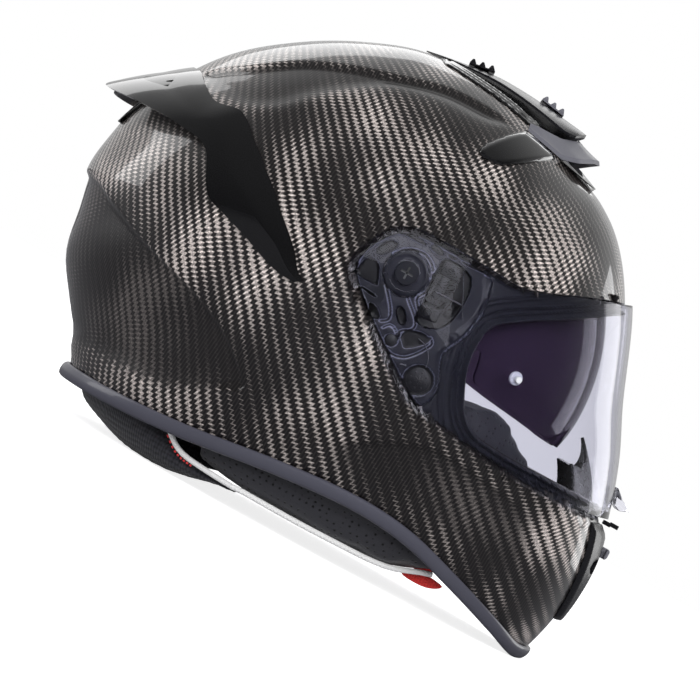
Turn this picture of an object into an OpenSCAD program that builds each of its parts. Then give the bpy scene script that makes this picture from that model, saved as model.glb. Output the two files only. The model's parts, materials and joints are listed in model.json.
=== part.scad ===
// Full face motorcycle helmet with a carbon shell, a clear face shield and an inner sun shield.
// +X is straight ahead, +Y the wearer's left and +Z up. The helmet stands on its chin and neck roll at z = 0.

/* [Shell] */
// Half width of the shell at the ears
half_w = 127; // [124:1:130]
// Wall of the shell
shell_t = 3.5; // [3:0.5:4]
// Place of the ear axis that the shell's profile is drawn about, fore and aft
ear_x = 5; // [3:1:7]
// Height of the ear axis
ear_z = 135; // [133:1:137]
// Depth of the pocket that the face shield's mechanism lies in
pocket_d = 4.5; // [4:0.5:5]
// Depth of the rear and chin side panels
panel_d = 2; // [1:0.5:2.5]

/* [Face shield] */
// Face shield hinge, fore and aft
hinge_x = 9.2; // [8:0.1:10]
// Face shield hinge, height
hinge_z = 141; // [140:0.5:142]
// Gap between the shell and the face shield
shield_gap = 1; // [0.8:0.1:1.2]
// Wall of the face shield
shield_t = 2; // [1.8:0.1:2.2]
// Radius of the hinge stud
stud_r = 5.8; // [5:0.1:6]
// Running clearance of a pin in its hole
fit = 0.05; // [0.03:0.01:0.08]

/* [Sun shield] */
// Sun shield hinge, fore and aft
sun_x = 12; // [11:1:13]
// Sun shield hinge, height
sun_z = 122; // [121:1:123]
// Radius of the sun shield about its hinge
sun_r = 110; // [109:0.5:111]
// Half width of the sun shield at its hinge
sun_w = 112; // [111:0.5:113]

/* [Liner] */
// Depth from the shell's skin to the inside of the foam
foam_in = 30; // [28:1:31]
// Thickness of the crown pad
pad_t = 10; // [8:1:11]
// Thickness of the cheek pads
cheek_t = 52; // [48:1:53]
// Half thickness of the neck roll
roll_w = 8; // [7:0.5:8.5]

/* [Rim] */
// Height of the rubber edge trim
trim_h = 7.5; // [7:0.5:8]
// How far the trim stands out of the shell
trim_out = 3; // [2.5:0.5:3.5]

/* [Strap] */
// Width of the chin strap
strap_w = 22; // [20:1:24]
// Thickness of the chin strap
strap_t = 1.8; // [1.5:0.1:2]
// Radius of a D-ring's bar
bar_r = 2; // [1.8:0.1:2.2]

/* [Hidden] */
wide = 400;

// Side profile of the shell: angle up from straight ahead, and radius from the ear axis
profile = [
    [-60, 222], [-45, 203], [-35, 189], [-25, 173], [-18, 159], [-10, 145.5], [0, 131.5], [10, 124.5],
    [24, 120.7], [40, 118.3], [50, 115.5], [60, 111], [70, 112.5], [80, 114], [92, 114.5],
    [104, 117], [112, 120], [125, 124], [140, 132], [155, 143.5], [170, 154], [180, 161.5],
    [187, 165], [195, 165.5], [203, 168.5], [212, 166], [222, 167], [235, 187], [255, 217],
    [278, 230]
];
// Height of the trim's lower edge along the helmet
rim_line = [[-170, 12], [-125, 14], [-90, 15], [-50, 18.5], [0, 25.5], [40, 28.5], [70, 26],
    [100, 17.5], [130, 7], [146, 0.6], [152, 0], [190, 0]];
// Height of the neck roll's lower edge and upper edge
roll_line = [[-130, 13], [-100, 8], [-80, 2.5], [-70, 0.4], [-50, 0.4], [-38, 2.5], [-20, 6], [20, 6]];
roll_top = [[-130, 22], [-75, 24], [-62, 19], [-52, 13], [-42, 9.6], [-20, 8.8], [20, 8.8]];
level = [[-200, 0], [0, 0], [200, 0]];
// Height of the cheek pad's lower edge and upper edge
cheek_low = [[-80, 36], [-58, 22], [-48, 14.5], [-38, 12.2], [0, 11], [40, 11], [70, 12.5], [90, 19],
    [120, 24]];
cheek_high = [[-80, 84], [-40, 92], [20, 96], [55, 84], [90, 76], [120, 72]];

// Outlines seen from the right side, as [fore and aft, height]
pocket = [[-18.2, 136.6], [-16, 142], [-12.5, 149], [-7, 157.5], [2, 162.3], [15.5, 163.2],
    [46.5, 162.6], [59.4, 162.2], [71.7, 165.6], [90, 173.5], [110.6, 182], [130, 189],
    [220, 189], [220, 77], [127, 78.4], [100.7, 78.8], [76.2, 81.3], [62.6, 83.2], [47.5, 84.6],
    [35, 87.8], [22.7, 96], [8.8, 106.6], [-6.6, 119], [-16.6, 128]];
eyeport = [[59, 130], [59.4, 119], [63.5, 107], [70, 96], [77, 90.8], [90, 89.1], [124, 88.6],
    [220, 88.6], [220, 176.6], [120, 176.6], [108, 168.5], [88, 155.5], [71, 145], [60.5, 136.5]];
plate_outline = [[-14.2, 131], [-4.3, 121], [11.4, 109], [28, 97], [42, 88.4], [47, 88.4],
    [50.2, 98.3], [43.9, 112.8], [43.5, 117], [47.5, 124.4], [51, 134], [50.8, 144], [49, 153.3],
    [46.5, 160], [15.5, 160.6], [4, 159.8], [-5, 155.5], [-10, 148.5], [-14, 140]];
rear_panel = [[-190, 112.6], [-147.4, 110.4], [-132, 104], [-108, 94.7], [-88, 88.8], [-67.5, 81.8],
    [-55.4, 75.8], [-41.3, 65.3], [-33, 57.4], [-37, 51], [-50.6, 44.3], [-70, 35.5], [-110, 32],
    [-190, 28]];
chin_panel = [[8, 51], [22.6, 57.4], [42, 67.3], [57.8, 72.5], [72, 74.2], [93, 72.9], [113, 70.5],
    [128, 62], [137, 48], [138, 20], [100, 26], [60, 34], [18, 34], [12, 42]];
crown_valley = [[-126, 182], [-106.6, 197.5], [-85.8, 210.8], [-62.7, 220.8], [-38.2, 228.2],
    [-16.4, 233.5], [12, 233.5], [12, 226.5], [-16.2, 224], [-40.4, 217.8], [-55, 208.8],
    [-71.5, 196], [-85.5, 183], [-99, 175.5]];
duct_outline = [[-28, 244.6], [-12.8, 243], [10.8, 240], [27, 235.6], [48, 236], [58, 250],
    [0, 262], [-28, 256]];
fin_outline = [[13, 208], [11.6, 214], [24.5, 231.6], [30, 232.6], [46, 229.6], [40.5, 223],
    [29.5, 213.3], [22.1, 208.6]];
vane_outline = [[50, 229], [56.5, 232.4], [62.4, 230.8], [72.6, 226.5], [65, 227], [57, 228]];
visor_outline = [[-17, 136.5], [-15, 141.5], [-11.6, 148.5], [-6.4, 156.6], [2.4, 161.2],
    [15.5, 162.1], [46.5, 161.5], [59.6, 161.1], [72, 164.5], [90.3, 172.4], [111, 180.9],
    [119.6, 184.8], [220, 187], [220, 83.6], [159.5, 83.6], [127, 79.6], [100.7, 80], [76.2, 82.5],
    [62.6, 84.4], [47.5, 85.8], [35.4, 89], [23.2, 97.1], [9.4, 107.7], [-5.4, 119.5],
    [-15.6, 128.5]];
sun_outline = [[62.5, 111], [70, 109.5], [103, 105], [112, 103], [160, 103], [160, 178],
    [106, 178], [82, 165], [62, 150], [40, 135], [16, 130.5], [8, 130], [3, 125], [3, 118],
    [8, 113.5], [16, 113.5], [46, 121], [59, 127], [61.5, 119]];
liner_below = [[-220, -130], [-220, 34], [-120, 44], [-90, 66], [-52, 93], [-22, 102], [44, 102],
    [50, 142], [75, 163], [100, 181], [112, 186], [260, 186], [260, -130]];
sun_sector = [[-26, 90], [-26, 162], [2, 172], [18, 190], [33, 236], [240, 236], [240, 90]];

// Cubic line through a table of [place, value] pairs
function seat(t, x, i = 0) = (i >= len(t) - 2 || x < t[i + 1][0]) ? i : seat(t, x, i + 1);
function lean(t, i) = let (a = max(i - 1, 0), b = min(i + 1, len(t) - 1))
    (t[b][1] - t[a][1]) / (t[b][0] - t[a][0]);
function line_at(t, x) = let (i = seat(t, x), h = t[i + 1][0] - t[i][0], s = (x - t[i][0]) / h)
    (1 + 2 * s) * pow(1 - s, 2) * t[i][1] + s * s * (3 - 2 * s) * t[i + 1][1]
    + h * s * pow(1 - s, 2) * lean(t, i) + h * s * s * (s - 1) * lean(t, i + 1);

turn = concat([[profile[len(profile) - 1][0] - 360, profile[len(profile) - 1][1]]], profile,
    [[profile[0][0] + 360, profile[0][1]], [profile[1][0] + 360, profile[1][1]]]);
function wrap(a) = a < -60 ? wrap(a + 360) : (a >= 300 ? wrap(a - 360) : a);
function radius(a) = line_at(turn, wrap(a));

// Point of the shell's skin at angle a about the ear axis and angle t out of the middle, off outwards
function skin(a, t, off) = [
    ear_x + (radius(a) + off) * cos(t) * cos(a),
    (half_w + off) * sin(t),
    ear_z + (radius(a) + off) * cos(t) * sin(a)
];
// How far a point lies from the skin, as a ratio: below 1 is inside
function inside(x, y, z, off) = let (r = norm([x - ear_x, z - ear_z]))
    pow(r / (radius(atan2(z - ear_z, x - ear_x)) + off), 2) + pow(y / (half_w + off), 2);
// Side distance of the skin over a point of the side view
function side_y(x, z, off = 0) = let (r = norm([x - ear_x, z - ear_z]))
    (half_w + off) * sqrt(max(0, 1 - pow(r / (radius(atan2(z - ear_z, x - ear_x)) + off), 2)));

// Point of the wall at plan angle phi, on a given line of heights plus h, off outwards
plan_x = 10;
function reach(phi, line, h, off, lo = 20, hi = 200, n = 12) = n == 0 ? (lo + hi) / 2 :
    let (m = (lo + hi) / 2, x = plan_x + m * cos(phi))
    inside(x, m * sin(phi), line_at(line, x) + h, off) < 1
        ? reach(phi, line, h, off, m, hi, n - 1) : reach(phi, line, h, off, lo, m, n - 1);
function wall(phi, line, h, off) = let (m = reach(phi, line, h, off), x = plan_x + m * cos(phi))
    [x, m * sin(phi), line_at(line, x) + h];

// Closed solid through rings of points of equal, even length, joined end to end or closed by caps
// whose strips join the two halves of the end ring; turned where the rings run the other way round
module loft(rings, closed = false, turned = false) {
    n = len(rings[0]);
    m = len(rings);
    last = closed ? m : m - 1;
    sides = [for (i = [0:last - 1], j = [0:n - 1]) each [
        [i * n + j, i * n + (j + 1) % n, ((i + 1) % m) * n + (j + 1) % n],
        [i * n + j, ((i + 1) % m) * n + (j + 1) % n, ((i + 1) % m) * n + j]]];
    tail = (m - 1) * n;
    caps = closed ? [] : [for (j = [0:n / 2 - 2]) let (a = n - 1 - j) each [
        [j + 1, j, a], [a - 1, j + 1, a],
        [tail + j, tail + j + 1, tail + a], [tail + j + 1, tail + a - 1, tail + a]]];
    faces = concat(sides, caps);
    polyhedron([for (r = rings) each r], convexity = 6,
        faces = turned ? [for (f = faces) [f[2], f[1], f[0]]] : faces);
}

// Closed globe from a function of the angle about the side axis and the angle out of the middle.
// Every second ring is turned by half a column, so no two triangles lie in one plane.
module globe(around, half, spot) {
    n = 2 * half - 1;
    points = concat([for (j = [1:n], i = [0:around - 1])
        spot(360 * (i + (j % 2) / 2) / around, 90 * j / half - 90)], [spot(0, -90), spot(0, 90)]);
    bands = [for (j = [0:n - 2], i = [0:around - 1]) let (
        k = (i + 1) % around, low = j * around, high = low + around, plain = j % 2
    ) each [[low + i, low + k, high + (plain ? i : k)],
        [low + (plain ? k : i), high + k, high + i]]];
    ends = [for (i = [0:around - 1]) each [[n * around, (i + 1) % around, i],
        [n * around + 1, (n - 1) * around + i, (n - 1) * around + (i + 1) % around]]];
    polyhedron(points, concat(bands, ends), convexity = 6);
}

// Full closed skin, off outwards, with around columns about the ear axis and half rings a side
module egg(off, around = 52, half = 10) globe(around, half, function(a, t) skin(a, t, off));

// Side-view outline carried through the whole width, or from y = a to y = b
module through(outline, a = -wide / 2, b = wide / 2) {
    translate([0, b, 0]) rotate([90, 0, 0]) linear_extrude(b - a) polygon(outline);
}

module grown(outline, by) {
    translate([0, wide / 2, 0]) rotate([90, 0, 0]) linear_extrude(wide) offset(delta = by)
        polygon(outline);
}

// Everything of a side-view outline that lies outside a given skin
module over(outline, off) {
    difference() {
        through(outline);
        egg(off);
    }
}

// Patch of skin between two offsets, inside a side-view outline
module patch(outline, low, high, around = 52, half = 10) {
    difference() {
        intersection() {
            egg(high, around, half);
            through(outline);
        }
        egg(low, around, half);
    }
}

// Mesh of the whole subtree
module meshed() {
    resize([0, 0, 0]) children();
}

// Ground under a line of heights
function below(line, h) = concat([for (x = [-203:7:203]) [x, line_at(line, max(-170, min(190, x))) + h]],
    [[200, -130], [-200, -130]]);

module across(x, z, r, a, b, n = 48) {
    translate([x, b, z]) rotate([90, 0, 0]) cylinder(r = r, h = b - a, $fn = n);
}

// Right side as drawn for side = -1, left side for side = 1
module on_side(side) {
    if (side < 0) mirror([0, 1, 0]) children();
    else children();
}

screw_a = [38.7, 98.9];
screw_b = [17.4, 109.7];
lens_pin = [80.5, 122.2];
lever_at = [24.5, 130];

module outer_shell() color("#1c1b1d") meshed() difference() {
    egg(0);
    over(pocket, -pocket_d);
    over(rear_panel, -panel_d);
    over(chin_panel, -panel_d);
    over(crown_valley, -panel_d);
    difference() {
        egg(-shell_t, 36, 8);
        grown(pocket, 3);
    }
    egg(-pocket_d - 2.5, 36, 8);
    grown(eyeport, 2.5);
    through(below(rim_line, 3.4));
    for (s = screws()) across(s[0], s[1], 2.6, -wide / 2, wide / 2, 14);
    for (s = [-1, 1]) translate([150, 17 * s, 61]) cube([60, 16, 9], center = true);
}

function screws() = [screw_a, screw_b];

function flare(phi) = 3.5 * exp(-pow((phi - 180) / 38, 2));

module edge_trim() color("#4a4a54") {
    loft([for (phi = [0:6:354]) [
        wall(phi, rim_line, 0, trim_out - 0.8 + flare(phi)),
        wall(phi, rim_line, trim_h * 0.45, trim_out + 0.4 + flare(phi)),
        wall(phi, rim_line, trim_h, trim_out - 0.9),
        wall(phi, rim_line, trim_h, 0.8),
        wall(phi, rim_line, 2.8, 0.8),
        wall(phi, rim_line, 2.8, -shell_t - 1.8),
        wall(phi, rim_line, trim_h - 0.6, -shell_t - 1.8),
        wall(phi, rim_line, trim_h - 0.6, -shell_t - 3.4),
        wall(phi, rim_line, 0, -shell_t - 3)
    ]], true);
}

module eyeport_gasket() color("#2b2c33") meshed() difference() {
    intersection() {
        egg(-0.2);
        grown(pocket, -0.8);
    }
    egg(-pocket_d + 0.3);
    grown(eyeport, -0.5);
    grown(plate_outline, 1);
    through([[-40, 60], [-40, 180], [46, 180], [46, 158], [50, 130], [42, 117], [50, 97], [42, 60]]);
}

module impact_liner() color("#26262a") meshed() difference() {
    egg(-shell_t - 1.6, 36, 8);
    egg(-foam_in, 36, 8);
    through(liner_below);
    difference() {
        through(sun_sector);
        sun_dome(-5, 32, 8);
    }
    across(rivet_x, rivet_z, rivet_r + 0.4, -wide / 2, wide / 2, 16);
}

module chin_liner() color("#242428") {
    loft([for (phi = [-36:6:36]) [
        wall(phi, rim_line, 12, -shell_t - 3.2),
        wall(phi, rim_line, 20, -shell_t - 2.2),
        wall(phi, rim_line, 38, -shell_t - 2.2),
        wall(phi, rim_line, 62 - abs(phi) * 0.35, -shell_t - 6),
        wall(phi, rim_line, 62 - abs(phi) * 0.35, -24),
        wall(phi, rim_line, 12, -26)
    ]]);
}

// Crown pad: a quilt of sewn channels inside the foam, narrower towards the back
pad_from = 36;
pad_to = 172;
function pad_side(u) = 46 - 25 * pow(max(0, u), 1.3);
function pad_rise(u, v) = pad_t * pow(1 - pow(abs(u), 5), 0.5) * pow(1 - pow(abs(v), 5), 0.5)
    * (0.74 + 0.26 * abs(sin(v * 270)));

function pad_spot(u, v, off) = skin(pad_from + (pad_to - pad_from) * (u + 1) / 2, pad_side(u) * v, off);
module crown_pad() color("#3c3c42") loft([for (i = [-11:11]) let (u = i / 11) concat(
    [for (j = [-7:7]) pad_spot(u, j / 7, -foam_in - 1.2)],
    [for (j = [7:-1:-7]) pad_spot(u, j / 7, -foam_in - 3.2 - pad_rise(0.98 * u, 0.98 * j / 7))])],
    turned = true);

// Cheek pad with a crowned inner face and drawn-in edges
module cheek_pad(side) on_side(side) {
    first = 38;
    last = 119;
    steps = 20;
    loft([for (k = [0:steps]) let (
        phi = last + (first - last) * k / steps,
        e = 2 * k / steps - 1,
        full = pow(1 - pow(abs(e * 0.97), 4), 0.5),
        deep = cheek_t * (0.5 + 0.5 * full) - 6
    ) cheek_ring(phi, full, deep)], turned = true);
}

function cheek_ring(phi, full, deep) = let (
    low = wall(phi, cheek_low, 0, -10),
    top = line_at(cheek_high, low[0]) - low[2],
    drop = 5 * (1 - full)
) [
    wall(phi, cheek_low, 3 + drop, -9),
    wall(phi, cheek_low, top * 0.5, -8.5),
    wall(phi, cheek_low, top - 5 - drop, -9),
    wall(phi, cheek_low, top - drop, -13),
    wall(phi, cheek_low, top - 1 - drop, -9 - deep * 0.6),
    wall(phi, cheek_low, top * 0.84, -9 - deep * 0.9),
    wall(phi, cheek_low, top * 0.62, -9 - deep),
    wall(phi, cheek_low, top * 0.36, -9 - deep),
    wall(phi, cheek_low, top * 0.14, -9 - deep * 0.92),
    wall(phi, cheek_low, 2 + drop, -9 - deep * 0.72),
    wall(phi, cheek_low, 0 + drop, -9 - deep * 0.42),
    wall(phi, cheek_low, 0.5 + drop, -13)
];

module cheek_pad_right() color("#35353b") cheek_pad(-1);
module cheek_pad_left() color("#35353b") cheek_pad(1);

// Neck roll: a padded horseshoe round the back of the neck
roll_mid = -15.5;
function roll_ring(phi, full) = let (
    low = wall(phi, roll_line, 0, -14),
    top = line_at(roll_top, low[0]) - low[2],
    w = roll_w * (0.45 + 0.55 * full),
    rise = min(4 * (1 - full), top * 0.3),
    tall = top - 2 * rise
) [
    wall(phi, roll_line, rise + tall * 0.12, roll_mid + w * 0.62),
    wall(phi, roll_line, rise + tall * 0.4, roll_mid + w * 0.92),
    wall(phi, roll_line, rise + tall * 0.75, roll_mid + w * 0.8),
    wall(phi, roll_line, rise + tall, roll_mid + w * 0.4),
    wall(phi, roll_line, rise + tall, roll_mid - w * 0.5),
    wall(phi, roll_line, rise + tall * 0.78, roll_mid - w),
    wall(phi, roll_line, rise + tall * 0.4, roll_mid - w * 1.1),
    wall(phi, roll_line, rise + tall * 0.12, roll_mid - w * 0.8),
    wall(phi, roll_line, rise, roll_mid - w * 0.25),
    wall(phi, roll_line, rise, roll_mid + w * 0.25)
];

module neck_roll() color("#2e2e34") loft([for (e = [-1:0.08:1]) let (
    full = pow(1 - pow(abs(e) * 0.98, 6), 0.5)) roll_ring(180 - 76 * e, full)], turned = true);

// Round cord along a list of points, with the given radius and number of sides
module tube(path, r, sides = 6) {
    loft([for (i = [0:len(path) - 1]) let (
        a = path[max(i - 1, 0)], b = path[min(i + 1, len(path) - 1)],
        d = (b - a) / norm(b - a), s = cross(d, [0, 0.1, 1]), e = s / norm(s), f = cross(d, e)
    ) [for (j = [0:sides - 1]) path[i] + r * (cos(360 * j / sides) * e - sin(360 * j / sides) * f)]]);
}

piping_r = 1.4;
module piping() color("#f2f2f4") for (side = [-1, 1]) on_side(side) tube(concat(
    [for (phi = [122:-3:104]) wall(phi, cheek_low, -1.2 - (122 - phi) / 18, -7.4)],
    [for (phi = [98:-6:44]) wall(phi, cheek_low, -1.4, -8 - (98 - phi) / 9)]), piping_r);

tab_shape = [[79, 14.2], [90, 16.6], [93, 16.9], [100, 15.5], [95.4, 12.2], [88.6, 10.6], [80, 11]];
module pull_tabs() color("#e03434") for (side = [-1, 1]) on_side(side) through(tab_shape, 71, 72.4);

module chin_curtain() color("#1d1d20") {
    loft([for (phi = [-34:4:34]) [
        wall(phi, rim_line, 9.2, -shell_t - 3.2),
        wall(phi, rim_line, 11.4, -shell_t - 3.2),
        wall(phi, rim_line, 11.4, -24 - 10 * cos(phi * 2.2)),
        wall(phi, rim_line, 9.2, -24 - 10 * cos(phi * 2.2))
    ]]);
}

// Breath deflector: a thin leaning cup over the nose
function lip(phi) = 30 - 15 * min(1, abs(phi) / 15);
module breath_deflector() color("#141417") loft([for (phi = [-24:3:24]) [
    wall(phi, level, 84, -8.4),
    wall(phi, level, 84 + lip(phi) * 0.5, -11),
    wall(phi, level, 84 + lip(phi), -9 - lip(phi) * 0.35),
    wall(phi, level, 84 + lip(phi), -11 - lip(phi) * 0.35),
    wall(phi, level, 84 + lip(phi) * 0.5, -13),
    wall(phi, level, 84, -10.4)
]]);

module visor() color([0.8, 0.8, 0.9, 0.4]) meshed() difference() {
    patch(visor_outline, shield_gap, shield_gap + shield_t);
    for (s = [-1, 1]) on_side(s) {
        across(hinge_x, hinge_z, boss_r + 0.5, 100, 150, 28);
        at_lens_pin() translate([0, 0, -8]) cylinder(r = 2.2, h = 16, $fn = 14);
    }
}

// Turns +Z to the outward direction of the face shield at the lens pin
module at_lens_pin() translate([lens_pin[0], side_y(lens_pin[0], lens_pin[1], shield_gap), lens_pin[1]])
    rotate([-90, 0, -28]) children();

module lens_pins() color("#e6e8ee") for (s = [-1, 1]) on_side(s) at_lens_pin() {
    translate([0, 0, -2.9]) cylinder(r = 3.4, h = 1.6, $fn = 32);
    translate([0, 0, -1.5]) cylinder(r = 1.7, h = 3.8, $fn = 32);
}

tab_side = [[155.8, 101.5], [162.6, 95.4], [168, 92.6], [168, 91.4], [163.5, 89.4], [160.8, 91.4]];
module visor_tab() color([0.75, 0.75, 0.8, 0.6]) meshed() difference() {
    through(tab_side, 6, 26);
    egg(shield_gap + shield_t + 0.1);
}

boss_r = 9.3;
stud_y = half_w - 4.3;
module visor_boss(side) on_side(side) difference() {
    union() {
        across(hinge_x, hinge_z, boss_r, stud_y + 2.4, stud_y + 7.6);
        across(hinge_x, hinge_z, boss_r + 1.3, stud_y + 2.4, stud_y + 3.6);
    }
    across(hinge_x, hinge_z, stud_r + fit, 100, 150);
}
module visor_boss_right() color("#cfd2dc") visor_boss(-1);
module visor_boss_left() color("#cfd2dc") visor_boss(1);

module pivot_stud(side) on_side(side) difference() {
    union() {
        across(hinge_x, hinge_z, 11.4, stud_y, stud_y + 2);
        across(hinge_x, hinge_z, stud_r, stud_y + 1, stud_y + 7.2);
    }
    translate([hinge_x, stud_y + 7.2, hinge_z]) for (a = [0, 90]) rotate([0, a, 0])
        cube([6.4, 2.4, 1.4], center = true);
}
module pivot_stud_right() color("#26272c") pivot_stud(-1);
module pivot_stud_left() color("#26272c") pivot_stud(1);

// Shallow wells and the lever's window in a base plate
wells = [
    [[-12, 133], [-4, 125.5], [-1.5, 128], [-2, 141], [-5.5, 144], [-11.5, 141]],
    [[-8.5, 147.5], [-3.5, 143.5], [0.5, 150], [-2.5, 155]],
    [[2.5, 155.5], [5, 154.5], [12, 156], [14, 158.5], [4.5, 157.8]],
    [[4, 116], [13, 110.5], [16, 113.5], [14, 127], [10, 127], [9, 120]],
    [[21.5, 107], [31, 105], [37, 110], [35, 117], [24, 118.5]]
];
lever_window = [[19, 128], [24, 123.2], [31, 123.2], [38, 132], [38, 150], [33.5, 157.5], [19, 157.5]];
module pivot_plate(side) on_side(side) meshed() difference() {
    patch(plate_outline, -pocket_d + 0.4, -1.4, 26, 12);
    through([[-60, 60], [60, 60], [60, 200], [-60, 200]], -wide / 2, 0);
    across(hinge_x, hinge_z, 11.8, 100, 150, 28);
    for (w = wells) difference() {
        through(w, 100, 150);
        egg(-2.9, 26, 12);
    }
    through(lever_window, 100, 150);
    across(screw_a[0], screw_a[1], 6.5, screw_y(screw_a), 150, 20);
    across(screw_b[0], screw_b[1], 3.5, screw_y(screw_b), 150, 14);
    for (s = screws()) across(s[0], s[1], 2.6, 100, 150, 14);
}
module pivot_plate_right() color("#2c2e38") pivot_plate(-1);
module pivot_plate_left() color("#2c2e38") pivot_plate(1);

function screw_y(s) = side_y(s[0], s[1], -3.2);
module plate_screw(s, r) {
    across(s[0], s[1], r, screw_y(s) + 0.15, screw_y(s) + 2);
    across(s[0], s[1], 2, screw_y(s) - 7, screw_y(s) + 0.6);
}
module plate_screws() color("#30323a") for (s = [-1, 1]) on_side(s) {
    difference() {
        plate_screw(screw_a, 6);
        translate([screw_a[0], screw_y(screw_a) + 2, screw_a[1]]) cube([8, 1.6, 1.4], center = true);
    }
    plate_screw(screw_b, 3);
}

// Release lever: swings on its pin in the window of the base plate
lever_y = side_y(lever_at[0], lever_at[1], -pocket_d) + 0.12;
lever_t = 0.8;
lever_l = 13;
pin_r = 1.6;
module release_lever(side) on_side(side) difference() {
    union() {
        across(lever_at[0], lever_at[1], 3.4, lever_y, lever_y + lever_t);
        across(lever_at[0], lever_at[1] + lever_l, 2.6, lever_y, lever_y + lever_t);
        translate([lever_at[0] - 2, lever_y, lever_at[1]]) cube([4, lever_t, lever_l]);
        translate([lever_at[0] - 4.5, lever_y, lever_at[1] + lever_l - 6]) cube([6, lever_t, 4]);
    }
    across(lever_at[0], lever_at[1], pin_r + fit, 100, 150);
}
module release_lever_right() color("#3a3c46") release_lever(-1);
module release_lever_left() color("#3a3c46") release_lever(1);
module lever_pins() color("#b8bac2") for (s = [-1, 1]) on_side(s)
    across(lever_at[0], lever_at[1], pin_r, lever_y - 0.1, lever_y + lever_t + 0.4);
module lever_springs() color("#d6d8de") for (s = [-1, 1]) on_side(s)
    translate([24, lever_y + lever_t + 1.2, 141]) rotate([0, 90, -5]) cylinder(r = 0.5, h = 13, $fn = 16);

// Dome that the sun shield is cut from, off outwards
module sun_dome(off, around = 40, half = 9) globe(around, half, function(a, t)
    [sun_x + (sun_r + off) * cos(t) * cos(a), (sun_w + off) * sin(t), sun_z + (sun_r + off) * cos(t) * sin(a)]);

sun_pin_r = 3;
sun_bush_r = 6;
module sun_visor() color([0.18, 0.15, 0.2, 0.85]) meshed() difference() {
    intersection() {
        sun_dome(0);
        through(sun_outline);
    }
    sun_dome(-2);
    translate([0, 0, 99]) rotate([90, 0, 90]) linear_extrude(200)
        polygon([[-24, 0], [24, 0], [16, 12], [9, 22], [0, 25], [-9, 22], [-16, 12]]);
    across(sun_x, sun_z, sun_bush_r + 0.4, -wide / 2, wide / 2, 20);
}
module sun_visor_bushes() color("#2a2a30") for (s = [-1, 1]) on_side(s) difference() {
    union() {
        across(sun_x, sun_z, sun_bush_r, sun_w - 4, sun_w + 0.6);
        across(sun_x, sun_z, sun_bush_r + 1.6, sun_w + 0.4, sun_w + 1.6);
    }
    across(sun_x, sun_z, sun_pin_r + fit, 90, 130);
}
module sun_visor_pins() color("#b8bac2") for (s = [-1, 1]) on_side(s) {
    across(sun_x, sun_z, sun_pin_r, sun_w - 5, sun_w + 4);
    across(sun_x, sun_z, sun_pin_r + 3, sun_w + 2.4, sun_w + 6);
}

// Sun shield slider at the lower left rim
slide_z = 45;
slide_y = side_y(24, slide_z, 0);
module sun_slider_base() color("#1b1b1f") difference() {
    translate([2, slide_y + 1.3, slide_z - 6]) cube([44, 1.8, 12]);
    translate([6, slide_y, slide_z - 2.2]) cube([36, 6, 4.4]);
}
module sun_slider_knob() color("#2d2d33") {
    translate([8, slide_y + 1.5, slide_z - 2]) cube([16, 2.5, 4]);
    translate([8, slide_y + 3.4, slide_z - 5]) cube([16, 2.6, 10]);
    for (i = [0:3]) translate([10 + 3.6 * i, slide_y + 6, slide_z - 4.5]) cube([1.4, 0.9, 9]);
}
module sun_visor_cable() color("#121214") tube([for (z = [42:8:98])
    let (x = 22 - 8 * (z - 42) / 56) [x, side_y(x, z, -6 - max(0, z - 74) * 0.12), z]], 0.9);

module crown_vent_base() color("#0f0f11") meshed() patch(duct_outline, 0.2, 0.8);

// Crown vent cover: [fore and aft, top height, half width, drop of the edge, thickness]
cover_line = [[-36, 248.5, 2.5, 0.2, 0.5], [-22, 250.7, 14, 1.1, 0.8], [0, 253.7, 24, 3.2, 2],
    [15, 253.8, 30, 4.6, 2], [30, 252.7, 33, 5.8, 2], [44, 250.8, 31, 6.4, 2], [51, 249.6, 24, 4.6, 2]];
module crown_vent_cover() color("#8a8a92") meshed() difference() {
    loft([for (c = cover_line) concat(
        [for (v = [-1:0.25:1]) [c[0] + 5 * (1 - v * v) * (c[0] > 40 ? 1 : 0), c[2] * v, c[1] - c[3] * v * v]],
        [for (v = [1:-0.25:-1]) [c[0] + 5 * (1 - v * v) * (c[0] > 40 ? 1 : 0), c[2] * v,
            c[1] - c[3] * v * v - c[4] * (1 - 0.4 * abs(v))]])]);
    translate([-14, -2.5, 230]) cube([20, 5, 40]);
    translate([22, -2.5, 230]) cube([20, 5, 40]);
}

// Slider with three ribs: its stem runs in a slot of the cover
module crown_slider(x, z, tilt) translate([x, 0, z]) rotate([0, tilt, 0]) {
    translate([-7, -9, 0.4]) cube([14, 18, 1]);
    translate([-4, -2, -2]) cube([8, 4, 2.8]);
    for (i = [-1:1]) translate([5 * i - 0.9, -9, 1]) cube([1.8, 18, 2.6]);
}
module crown_slider_front() color("#77777f") crown_slider(34, 252.6, 9);
module crown_slider_rear() color("#1a1a1d") crown_slider(-7, 253.2, -9);

// Brow scoop: an upper and a lower edge from the middle to the side, as [x, y, z]
scoop_rear = [[54, 0, 245.6], [53, 18, 243.4], [45, 35, 239.6], [37, 46, 238.6], [32, 51.5, 238.2],
    [27.5, 56, 237.4]];
scoop_front = [[69.5, 0, 241], [66, 17, 239.4], [58.5, 34, 234.6], [50, 45, 231.4], [40, 53.5, 233], [28, 59, 235]];
scoop_t = 1.6;
scoop_down = [-0.4, 0, -1] * scoop_t;
function both(e) = concat([for (i = [len(e) - 1:-1:1]) [e[i][0], -e[i][1], e[i][2]]], e);
function scoop_ring(a, b) = [a, b, b + scoop_down * 0.6, a + scoop_down];
module scoop_plate() color("#8d8d96")
    loft([for (i = [0:2 * len(scoop_rear) - 2]) scoop_ring(both(scoop_rear)[i], both(scoop_front)[i])],
        turned = true);
module scoop_vanes() color("#0e0e10") meshed() patch(vane_outline, 0.3, 2.2);

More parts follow.
